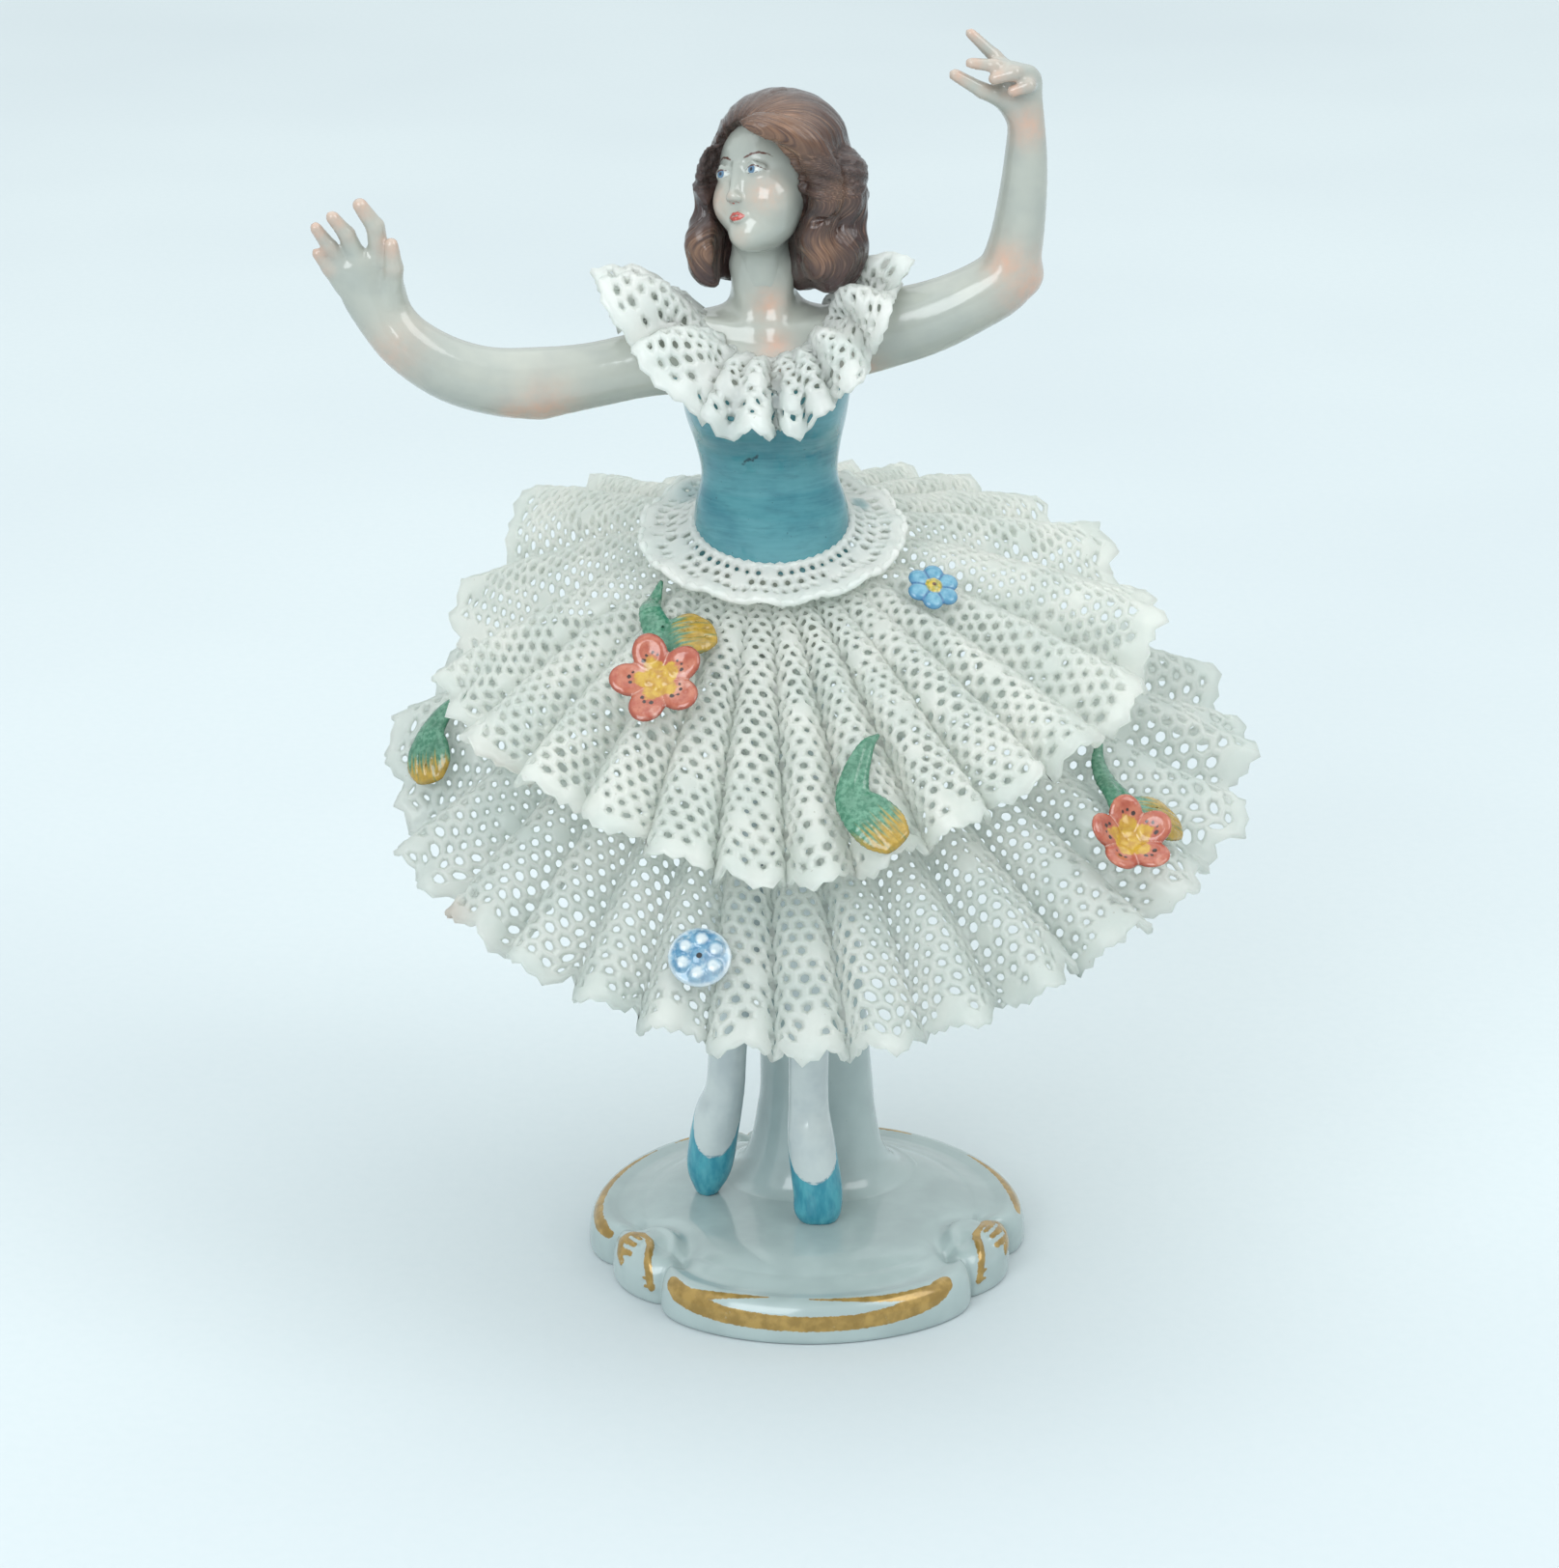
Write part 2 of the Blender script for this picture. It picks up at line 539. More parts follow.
left_arm = [
    [-9, 0.5, 111.4, 3.6], [-14, 0.2, 111.6, 4.2], [-18.8, -0.4, 110.9, 3.75], [-25, -1, 109.7, 3.7],
    [-31.2, -1.6, 109, 4.05], [-36.4, -2, 109.4, 3.8], [-41, -2.3, 110.9, 3.6], [-45.2, -2.4, 113.6, 3.3],
    [-47.7, -2.5, 116.6, 3.2, 2.4], [-49.2, -2.6, 120, 3.6, 1.9], [-50.2, -2.8, 123.0, 3.4, 1.5],
]
right_arm = [
    [0, 0.5, 112.6, 3.6], [4.5, 0.3, 113.8, 4.5], [9, 0, 115, 4.4], [13.4, -0.3, 116.3, 4.1],
    [18, -0.7, 118.4, 3.75], [21.8, -1, 121, 3.6], [23, -1.1, 124.8, 3.1], [23.7, -1.2, 130, 2.75],
    [24, -1.5, 135, 2.4], [23.9, -1.8, 139.2, 2.1], [23, -2, 142.3, 1.6, 2.7], [22.9, -2.2, 144.2, 1.4, 2.6],
]
# Fingers: root, middle joint and tip [x, y, z] with the half widths at root and tip.
fingers = [
    [[-48.2, -2.8, 124], [-48.6, -3.6, 127.6], [-50.2, -4.2, 130.2], 1.25, 0.85],
    [[-50.4, -2.8, 123], [-51.8, -3.8, 126.8], [-53.3, -4.4, 128.9], 1.15, 0.75],
    [[-52, -2.8, 122.4], [-53.8, -3.7, 125.4], [-55.2, -4.2, 127.6], 1.05, 0.7],
    [[-52.6, -2.6, 120.8], [-54, -3.3, 122.8], [-55.2, -3.7, 124.6], 1.0, 0.62],
    [[-47, -3.2, 119.4], [-46.6, -4.2, 123], [-46.8, -4.6, 125.8], 1.3, 0.8],
    [[22.2, -2.2, 144.6], [20.3, -2.4, 146.6], [17.6, -2.6, 149.2], 0.95, 0.6],
    [[22.6, -3, 145.2], [20.2, -4.2, 145.9], [17.6, -4.2, 146.2], 0.9, 0.62],
    [[24, -3, 144.8], [22.4, -4.8, 145.2], [20.2, -4.9, 144.6], 0.95, 0.7],
    [[24.4, -2.4, 143.6], [24, -4.8, 143.8], [22.2, -5, 143.2], 0.9, 0.66],
    [[21.8, -2.6, 141.6], [19, -3.6, 143], [15.9, -3.8, 144.8], 1.1, 0.7],
]


def build_body():
    grid = new_grid([-57.4, -11.5, 74.6], [28.2, 9.8, 151], 0.36)
    join_levels(grid, torso_levels)
    for side in (-1, 1):
        join(grid, oval([-5.1 + side * 3.6, -5.4, 107.3], [4.1, 4.0, 4.2]), 2.0)
        join(grid, rod([-5 + side * 1.3, -3.2, 115.2], [-5 + side * 6.5, -2.3, 116.2], 0.75, 0.7), 1.3)
        join(grid, rod([-5 + side * 1.0, -2.9, 115.4], [-5.3 + side * 2.8, -0.5, 122.4], 0.5, 0.7), 1.8)
        join(grid, oval([-4.9 + side * 8.4, 0.4, 113.6], [3.2, 3.6, 3.0]), 2.2)
    join_limb(grid, left_arm, (0, 0, 1), 42, first_blend=2.5)
    join_limb(grid, right_arm, (0, 1, 0), 44, first_blend=2.5)
    join(grid, oval([-30.6, -0.4, 106.6], [1.8, 2.0, 1.6]), 1.6)
    join(grid, oval([24.4, -0.4, 121.2], [1.7, 1.8, 1.7]), 1.6)
    for root, joint, tip, start, end in fingers:
        middle = (start + end) / 2
        join(grid, rod(root, joint, start, middle), 0.7)
        join(grid, rod(joint, tip, middle, end), 0.3)
    points, faces = netted(grid)
    x, y, z = points.T
    bodice = np.max([z - 110.2, 88.2 - z, -15.6 - x, x - 5.8], axis=0)
    blush = [
        [-30, -4.5, 106.4, 3.4], [-33, -5, 105.8, 2.4], [-46.6, -3, 113.4, 3.0], [24.6, -2.6, 120.8, 3.6],
        [22, -4, 123.5, 2.4], [24, -3.4, 139, 2.2], [-4, -4.8, 114.0, 1.9], [-4.4, -6, 111.0, 2.2],
        [-4.6, -3.2, 118.6, 1.8], [6, -4, 110.4, 2.4],
    ]
    for root, joint, tip, start, end in fingers:
        blush += [[*tip, 1.7], [*joint, 0.9]]
    # A small dark nick in the bodice's paint, in front below the bust.
    nick = line_gap(x, z, [[-7.6, 101.2, 0.16], [-6.9, 101.9, 0.16], [-6.4, 101.8, 0.16], [-6, 102.4, 0.16]])
    masks = {"bodice": bodice, "blush": spot_near(points, blush), "edge": np.abs(z - 99)}
    masks["nick"] = np.where(y < 0, nick, far_off)
    return link_mesh("dancer_body", points, faces, "figure", masks)


shoe_start = 6.5
right_leg = [
    [1.3, -6.3, shoe_start + 1.0, 2.5, 1.9], [1.1, -6.3, shoe_start + 4, 2.95, 2.5],
    [0.3, -5.6, shoe_start + 10, 2.8, 2.9], [0, -4.6, 21, 2.4, 2.6], [0, -4, 29, 2.5, 2.7],
    [-0.2, -3.8, 38, 3.4, 3.6], [-0.8, -4, 50, 3.3, 3.4], [-1.2, -3.8, 66, 3.6, 3.6],
    [-1.8, -1.6, 79, 4.2, 4.0],
]
left_leg = [
    [-12.2, 1.4, shoe_start + 1.1, 1.7, 1.7], [-11.9, 1.3, shoe_start + 4, 2.8, 2.4],
    [-11, 1.2, shoe_start + 10, 2.8, 2.7], [-10, 1.2, 20.5, 2.35, 2.5], [-9.6, 0.8, 28, 2.4, 2.6],
    [-9, -0.6, 38, 3.2, 3.4], [-8.6, -2, 50, 3.2, 3.3], [-8.3, -2.6, 66, 3.5, 3.5], [-6.8, -1, 79, 4.2, 4.2],
]


def build_legs():
    grid = new_grid([-16, -11, 5.4], [6, 6.6, 84], 0.36)
    join_limb(grid, right_leg, (1, 0, 0), 60)
    join_limb(grid, left_leg, (1, 0, 0), 60)
    join(grid, oval([0.3, -3.4, 17.6], [2.0, 2.0, 3.2]), 1.2)
    join(grid, oval([-10.6, 2.4, 17.2], [2.0, 1.9, 3.1]), 1.2)
    join(grid, oval([0.9, -6.9, shoe_start + 1.7], [2.5, 1.4, 1.9]), 0.8)
    above_plate = (plate_top - 0.06 - grid["axes"][2]).astype(np.float32)
    grid["field"] = np.maximum(grid["field"], above_plate)
    points, faces = netted(grid)
    x, y, z = points.T
    right = x > -5.6
    levels = [7, 16, 21]
    axis_x = np.where(right, np.interp(z, levels, [1.2, 0.3, 0]), np.interp(z, levels, [-12.1, -11, -10]))
    axis_y = np.where(right, np.interp(z, levels, [-6.3, -5.2, -4.6]), 1.2)
    back = np.clip((y - axis_y + 2.4) / 4.2, 0, 1)
    side = np.clip(np.abs(x - axis_x) / 2.6, 0, 1)
    opening = 12.2 + 1.6 * side**2 + 7.2 * back * back * (3 - 2 * back)
    masks = {"shoe": np.maximum(z - opening, z - 24), "piping": np.abs(z - opening - 0.1) - 0.12}
    return link_mesh("dancer_legs", points, faces, "figure", masks)


# The head is turned to her right, tipped to that side and lifted a little.
head_centre = np.array([-4.6, -0.4, 132.0])
head_turn = np.array(
    Matrix.Rotation(math.radians(-36), 3, "Z")
    @ Matrix.Rotation(math.radians(-15), 3, "Y")
    @ Matrix.Rotation(math.radians(-20), 3, "X")
)


def in_head(place):
    """A place in the part's frame as seen from the upright head, facing -Y."""
    return head_turn.T @ (np.array(place, float) - head_centre)


def build_head():
    grid = new_grid([-6.6, -8.4, -11.5], [6.6, 8.2, 9.6], 0.17)
    # Skull, face and chin.
    join(grid, oval([0, 0.6, 1.9], [5.7, 6.3, 6.8]))
    join(grid, oval([0, -1.3, -1.9], [5.0, 4.6, 6.1]), 1.2)
    join(grid, oval([0, -3.8, -6.7], [1.9, 1.65, 1.55]), 1.8)
    # On each side a cheek, an eye socket with its ball and upper lid, a wing of the nose with its
    # nostril, and half of both lips.
    for side in (-1, 1):
        join(grid, oval([side * 2.5, -3.2, -2.6], [2.3, 2.1, 2.3]), 1.4)
        cut_away(grid, oval([side * 2.2, -6.75, 0.35], [1.45, 1.15, 0.9]), 0.9)
        join(grid, oval([side * 2.2, -4.85, 0.15], [1.25, 1.05, 0.9]), 0.3)
        join(grid, rod([side * 1.05, -5.55, 0.6], [side * 2.25, -5.75, 1.0], 0.15, 0.18), 0.4)
        join(grid, rod([side * 2.25, -5.75, 1.0], [side * 3.35, -5.1, 0.5], 0.18, 0.13), 0.4)
        join(grid, oval([side * 0.58, -6.1, -2.95], [0.44, 0.5, 0.36]), 0.35)
        cut_away(grid, oval([side * 0.32, -6.25, -3.36], [0.17, 0.28, 0.13]), 0.15)
        join(grid, rod([side * 0.2, -5.9, -4.6], [side * 1.1, -5.45, -4.85], 0.32, 0.15), 0.35)
        join(grid, rod([0, -5.85, -5.25], [side * 0.85, -5.45, -5.08], 0.38, 0.2), 0.35)
    # Bridge and tip of the nose; hollows above and below the lips; the line between them; the neck.
    join(grid, rod([0, -5.65, 0.8], [0, -6.45, -2.5], 0.38, 0.5), 0.9)
    join(grid, oval([0, -6.5, -2.75], [0.52, 0.48, 0.45]), 0.4)
    cut_away(grid, oval([0, -6.3, -3.95], [0.25, 0.4, 0.4]), 0.4)
    cut_away(grid, oval([0, -6.55, -5.95], [0.9, 0.6, 0.3]), 0.5)
    cut_away(grid, rod([-1.0, -6.05, -4.9], [1.0, -6.05, -4.9], 0.08, 0.08), 0.2)
    join(grid, rod(in_head([-5.45, 0.35, 120.6]), in_head([-5.6, 0.2, 128]), 3.22, 3.28), 1.6)
    points, faces = netted(grid)
    x, y, z = points.T
    masks = {part: np.full(len(x), far_off) for part in ("eye", "iris", "pupil", "lash", "brow")}
    for side in (-1, 1):
        middle = side * 2.2
        u, v = side * (x - middle), z - 0.15
        almond = 0.5 * (np.hypot(u / 1.1, (v + 0.04 * u) / (0.42 + 0.04 * np.sign(v))) - 1)
        gaze = np.hypot(x - middle + 0.1, z - 0.2)
        upper = [[-1.1, 0.02, 0.03], [-0.6, 0.34, 0.07], [0, 0.48, 0.1], [0.6, 0.38, 0.09], [1.25, 0.0, 0.05]]
        lower = [[-0.8, -0.3, 0.02], [0, -0.46, 0.03], [0.9, -0.24, 0.03]]
        crease = [[-0.7, 0.8, 0.01], [0.1, 0.98, 0.02], [1.1, 0.7, 0.01]]
        arch = [[-1.2, 1.5, 0.1], [-0.5, 1.85, 0.13], [0.4, 2.02, 0.12], [1.2, 1.8, 0.07], [1.75, 1.4, 0.03]]
        gaps = {
            "eye": almond,
            "iris": np.maximum(gaze - 0.5, almond),
            "pupil": gaze - 0.22,
            "lash": np.min([line_gap(u, v, line) for line in (upper, lower, crease)], axis=0),
            "brow": line_gap(u, v, arch),
        }
        for part, gap in gaps.items():
            masks[part] = np.minimum(masks[part], gap)
    lip_lines = [
        [[0.0, -4.68, 0.15], [0.3, -4.58, 0.18], [0.7, -4.74, 0.14], [1.1, -4.88, 0.05]],
        [[0.0, -5.2, 0.26], [0.45, -5.15, 0.21], [0.95, -4.96, 0.05]],
    ]
    nostrils = np.hypot((np.abs(x) - 0.36) / 1.5, z + 3.36) - 0.07
    masks["lips"] = np.min([nostrils, *(line_gap(np.abs(x), z, line) for line in lip_lines)], axis=0)
    masks = {part: np.where(y < -2.2, gap, far_off) for part, gap in masks.items()}
    cheeks = spot_near(points, [[side * 3.1, -4.6, -2.6, 1.9] for side in (-1, 1)])
    chin_and_nose = 0.5 * spot_near(points, [[0, -5.6, -7.2, 1.2], [0, -7.2, -2.8, 0.8]])
    masks["blush"] = np.maximum(cheeks, chin_and_nose)
    points = points @ head_turn.T + head_centre
    return link_mesh("dancer_head", points, faces, "figure", masks)


# Hair levels [z, left, right, front, back].
hair_levels = [
    [119.5, -8.2, -1.6, 2.0, 5.4], [120.2, -10.6, 1.6, 0.2, 6.8], [121.4, -12.6, 4.7, -2.8, 8.6],
    [123.8, -13.8, 6.3, -4.4, 9.6], [126, -13.2, 5.7, -4, 8.8], [128.2, -12.6, 5.8, -4.4, 8.6],
    [130.6, -12.6, 6.4, -5, 9.2], [133.2, -12, 5.5, -5.8, 9.2], [136, -11, 4.4, -6.6, 8.6],
    [138.6, -10, 3.6, -6.5, 7.4], [140.8, -8.2, 1.7, -4.8, 5.4], [141.9, -5.9, -0.6, -2.6, 3.2],
    [142.3, -4.4, -2.6, -1, 1.6],
]
parting = np.array([-9.6, -5.0, 137.6])


def strand_place(x, y, z):
    """How far round the head a strand lies and how far along it a point is, both in mm."""
    round_side = np.arctan2(y - 1.2, x + 3.6)
    side_across = 9.5 * (round_side + 0.085 * np.sin(0.85 * z + 1.4 + 1.3 * np.sin(2 * round_side)))
    dx, dy, dz = x - parting[0], y - parting[1], z - parting[2]
    fan = np.arctan2(0.15 * dx + 0.95 * dy + 0.2 * dz, 0.9 * dx - 0.25 * dy + 0.25 * dz)
    fan_across = 13 * fan + 0.35 * np.sin(0.5 * np.sqrt(dx * dx + dy * dy + dz * dz))
    high = np.clip((z - 131) / 6, 0, 1)
    high = high * high * (3 - 2 * high)
    across = side_across * (1 - high) + fan_across * high
    along = -z * (1 - high) + np.sqrt(dx * dx + dy * dy + dz * dz) * high
    return across, along, high


def strand_waves(across, along):
    """The broad locks and the fine strands between them, as waves across the hair."""
    broad = np.sin(across * 2 * math.pi / 3.1 + 0.6 * np.sin(along * 0.5))
    fine = np.sin(across * 2 * math.pi / 1.15 + 0.9 * np.sin(along * 0.8 + across))
    return broad, fine


def build_hair():
    grid = new_grid([-16, -9.6, 117.6], [8.6, 11.8, 144], 0.26)
    levels = [
        [z, (left + right) / 2, (front + back) / 2, (right - left) / 2, (back - front) / 2]
        for z, left, right, front, back in hair_levels
    ]
    join_levels(grid, levels)
    locks = [
        [[-9.6, -4.6, 137.4, 0.8], [-5.6, -6.3, 139.6, 1.4], [-0.8, -6.3, 138.0, 1.7],
         [1.7, -5.2, 133.4, 1.9]],
        [[1.8, -5, 133.6, 1.8], [1.5, -5.2, 130.2, 1.9], [0.6, -4.8, 127.4, 1.8], [1.2, -4.4, 124.4, 2.2],
         [2.6, -3.4, 121.8, 1.9]],
        [[3.6, -3.2, 131.2, 2.2], [4.2, -2.8, 128, 2.0], [3.6, -3.4, 125, 2.3], [2.2, -3, 122, 1.8]],
        [[-10.2, -2.2, 136.2, 1.3], [-11.0, -1.0, 132.2, 1.9], [-11.3, -1.2, 128.4, 1.6],
         [-12, -2.2, 125, 2.0], [-11.2, -1.6, 121.9, 1.6]],
        [[-1, -0.5, 121.6, 2.0], [0.4, -2.2, 123.4, 1.9], [0.4, -3.6, 126.0, 1.6]],
    ]
    for lock in locks:
        join_limb(grid, lock, (0, 1, 0.1), 16, blend=0.5)
    join(grid, oval([2.2, -1.6, 124.2], [4.3, 3.9, 4.2]), 0.6)
    join(grid, oval([3.9, -1.6, 132.6], [2.6, 3.2, 3.4]), 0.8)
    cut_away(grid, rod([-1.2, -6.8, 128.8], [2.4, -6.5, 129.3], 0.15, 0.1), 1.0)
    join(grid, oval([-11.4, -1.6, 123.4], [2.3, 2.6, 3.2]), 0.5)
    face_hollow = oval(head_turn @ [0.8, -5.5, -1.4] + head_centre, [5.5, 7.2, 7.2], head_turn.T)
    cut_away(grid, face_hollow, 0.8)
    neck = [[-5.7, -3.4, 114, 4.4, 6], [-6, -4, 121, 4.4, 6], [-6.6, -5.4, 128, 4.4, 6]]
    join_limb(grid, neck, (1, 0, 0), 6, blend=0.6, cutting=True)
    x, y, z = np.meshgrid(*grid["axes"], indexing="ij", sparse=True)
    across, along, high = strand_place(x, y, z)
    broad, fine = strand_waves(across, along)
    curl = np.sin(z * 1.25 + 0.35 * across) * (1 - high) * (z < 134)
    grid["field"] += ((0.1 - 0.03 * high) * broad + 0.06 * fine + 0.13 * curl).astype(np.float32)
    points, faces = netted(grid)
    across, along, high = strand_place(*points.T)
    broad, fine = strand_waves(across, along)
    glow = [
        [-3.4, -6.4, 139.4, 5.0], [1.4, -6.6, 125.4, 2.4], [-12.4, -4.0, 124.6, 2.0], [2.4, -5.6, 132.0, 1.8],
    ]
    masks = {"across": across, "along": along, "groove": 0.44 * broad + 0.264 * fine}
    masks["low"] = np.clip((124.5 - points[:, 2]) / 4.5, 0, 1)
    masks["glow"] = spot_near(points, glow)
    return link_mesh("dancer_hair", points, faces, "figure", masks)


def skin_glaze(name, grain, least, most, coral):
    """Warm white glaze with a blush stippled on where the mask asks for it, in dabs of grain mm."""
    material, tree, mm = new_material(name)
    colour = laid_on(tree, "#A9ACA3", "#9EA39C", patches(tree, mm, 7.0, 0.35, 0.7))
    blush = add(tree, "Attribute", attribute_name="blush").outputs["Fac"]
    colour = laid_on(tree, colour, coral, blush, patches(tree, mm, grain, 0.25, 0.75, least, most))
    return material, tree, mm, colour


# Bodice teal is laid on in broad wet strokes: darker where it pooled, paler at its edges, dragged
# along by the brush, with a few specks and one dark nick; the blush is stippled coral-pink,
# strongest at fingertips, elbows and wrists.
body_glaze, tree, mm, colour = skin_glaze("white glaze with blush and teal bodice", 1.2, 0.3, 0.6, "#D69B7E")
teal = laid_on(tree, "#2A6C79", "#43828A", patches(tree, mm, 5.0, 0.3, 0.72, stretch=(0.9, 0.9, 1.5)))
pooled = patches(tree, mm, 1.6, 0.5, 0.75, 0.0, 0.45, stretch=(0.6, 0.6, 1.8))
teal = laid_on(tree, teal, "#255F6C", pooled)
teal = laid_on(tree, teal, "#6A9DA5", graded(tree, "edge", 5.0, 9.5, 0.0, 0.35))
drag = patches(tree, mm, 1.0, 0.3, 0.7, 0.0, 0.2, stretch=(0.25, 0.25, 2.6))
teal = laid_on(tree, teal, "#5D9AA0", drag)
teal = laid_on(tree, teal, "#2B5561", patches(tree, mm, 0.45, 0.74, 0.79, 0.0, 0.6, detail=1.0))
teal = laid_on(tree, teal, "#1D3F4A", painted(tree, mm, "nick", 0.08, ragged=0.1, grain=0.5))
colour = laid_on(tree, colour, teal, painted(tree, mm, "bodice", 0.12, ragged=0.15))
glazed(tree, mm, colour, roughness=0.15, coat=0.4)
dancer_body = build_body()
dancer_body.data.materials.append(body_glaze)

# The legs are a cooler white; the pumps are a deeper teal, streaked by the brush, with a fine darker
# edge at the opening.
leg_glaze, tree, mm = new_material("white glaze with teal pumps")
colour = laid_on(tree, "#BCC5C4", "#ACB6B8", patches(tree, mm, 5.0, 0.35, 0.7))
teal = laid_on(tree, "#2B8094", "#4B9CA9", patches(tree, mm, 1.8, 0.3, 0.7, stretch=(1.8, 1.8, 0.6)))
colour = laid_on(tree, colour, teal, painted(tree, mm, "shoe", 0.1, ragged=0.12))
colour = laid_on(tree, colour, "#256E82", painted(tree, mm, "piping", 0.08, ragged=0.05), 0.7)
glazed(tree, mm, colour, roughness=0.15, coat=0.4)
dancer_legs = build_legs()
dancer_legs.data.materials.append(leg_glaze)

# The face is painted with a fine brush over the white glaze: blue irises, brown lashes and brows,
# red lips, and coral cheeks that fade out. Each part: colour, soft edge, raggedness, grain, cover.
face_parts = {
    "eye": ["#C3C8C5", 0.04, 0.0, 0.8, 0.8],
    "iris": ["#54748F", 0.04, 0.02, 0.8, 1.0],
    "pupil": ["#1E2A38", 0.04, 0.0, 0.8, 1.0],
    "lash": ["#54352F", 0.03, 0.02, 0.4, 1.0],
    "brow": ["#5A3A32", 0.05, 0.05, 0.4, 1.0],
    "lips": ["#A93E33", 0.05, 0.03, 0.4, 1.0],
}
face_glaze, tree, mm, colour = skin_glaze("white glaze with painted face", 0.8, 0.2, 0.45, "#D89A7C")
for part, (tone, soft, ragged, grain, cover) in face_parts.items():
    colour = laid_on(tree, colour, tone, painted(tree, mm, part, soft, ragged, grain), cover)
glazed(tree, mm, colour, roughness=0.14, coat=0.4, orange_peel=0.008)
dancer_head = build_head()
dancer_head.data.materials.append(face_glaze)

# Hair colour is wiped over the strands: dark in the grooves and under the curls, tan on the ridges
# and where it was wiped thin, with hair-fine brush lines along the strands.
hair_glaze, tree, mm = new_material("brown hair glaze")
across, along, glow, low = (
    add(tree, "Attribute", attribute_name=mask).outputs["Fac"] for mask in ("across", "along", "glow", "low")
)
strand = add(tree, "CombineXYZ", {0: across, 1: along}).outputs[0]
strand = add(tree, "VectorMath", {0: strand, 1: (4.2, 0.32, 0.0)}, operation="MULTIPLY").outputs[0]
brushed = add(tree, "TexNoise", {"Vector": strand, "Scale": 1.0, "Detail": 3.0}).outputs["Fac"]
brown = laid_on(tree, "#402B26", "#211413", graded(tree, "groove", -0.8, 0.8))
brown = laid_on(tree, brown, "#8A654C", glow, 0.8)
brown = laid_on(tree, brown, "#3A2624", graded(tree, brushed, 0.4, 0.7, 0.0, 0.75))
pale = graded(tree, brushed, 0.24, 0.46, 0.75, 0.0)
brown = laid_on(tree, brown, "#A07C66", pale, graded(tree, glow, 0.0, 0.6, 0.4, 1.0))
brown = laid_on(tree, brown, "#341E1F", low, 0.8)
glazed(tree, mm, brown, roughness=0.08, coat=0.3, orange_peel=0.3, relief=brushed)
dancer_hair = build_hair()
dancer_hair.data.materials.append(hair_glaze)

# LOWER SKIRT: net lace soaked in porcelain slip, gathered, pinned round the hips over a form and
# fired, so that the thread burns out and a brittle shell of glazed strands and holes stays.


def wave(angle, turns, shift=0.0):
    """A wave that swings so many times on the way round."""
    return np.sin(turns * angle + shift)


def torso_at(height):
    """The torso's centre [x, y] and half width and depth at a height."""
    levels = np.array(torso_levels, float)
    return [np.interp(height, levels[:, 0], levels[:, k]) for k in (1, 2, 3, 4)]


def normals_of(surface, angle, down):
    """Outward normals of a surface that is given by angle and share of the way down."""
    step = 1e-3
    around = surface(angle + step, down) - surface(angle - step, down)
    along = surface(angle, down + step) - surface(angle, np.maximum(0, down - step))
    normal = -np.cross(around, along)
    return normal / np.linalg.norm(normal, axis=-1, keepdims=True)


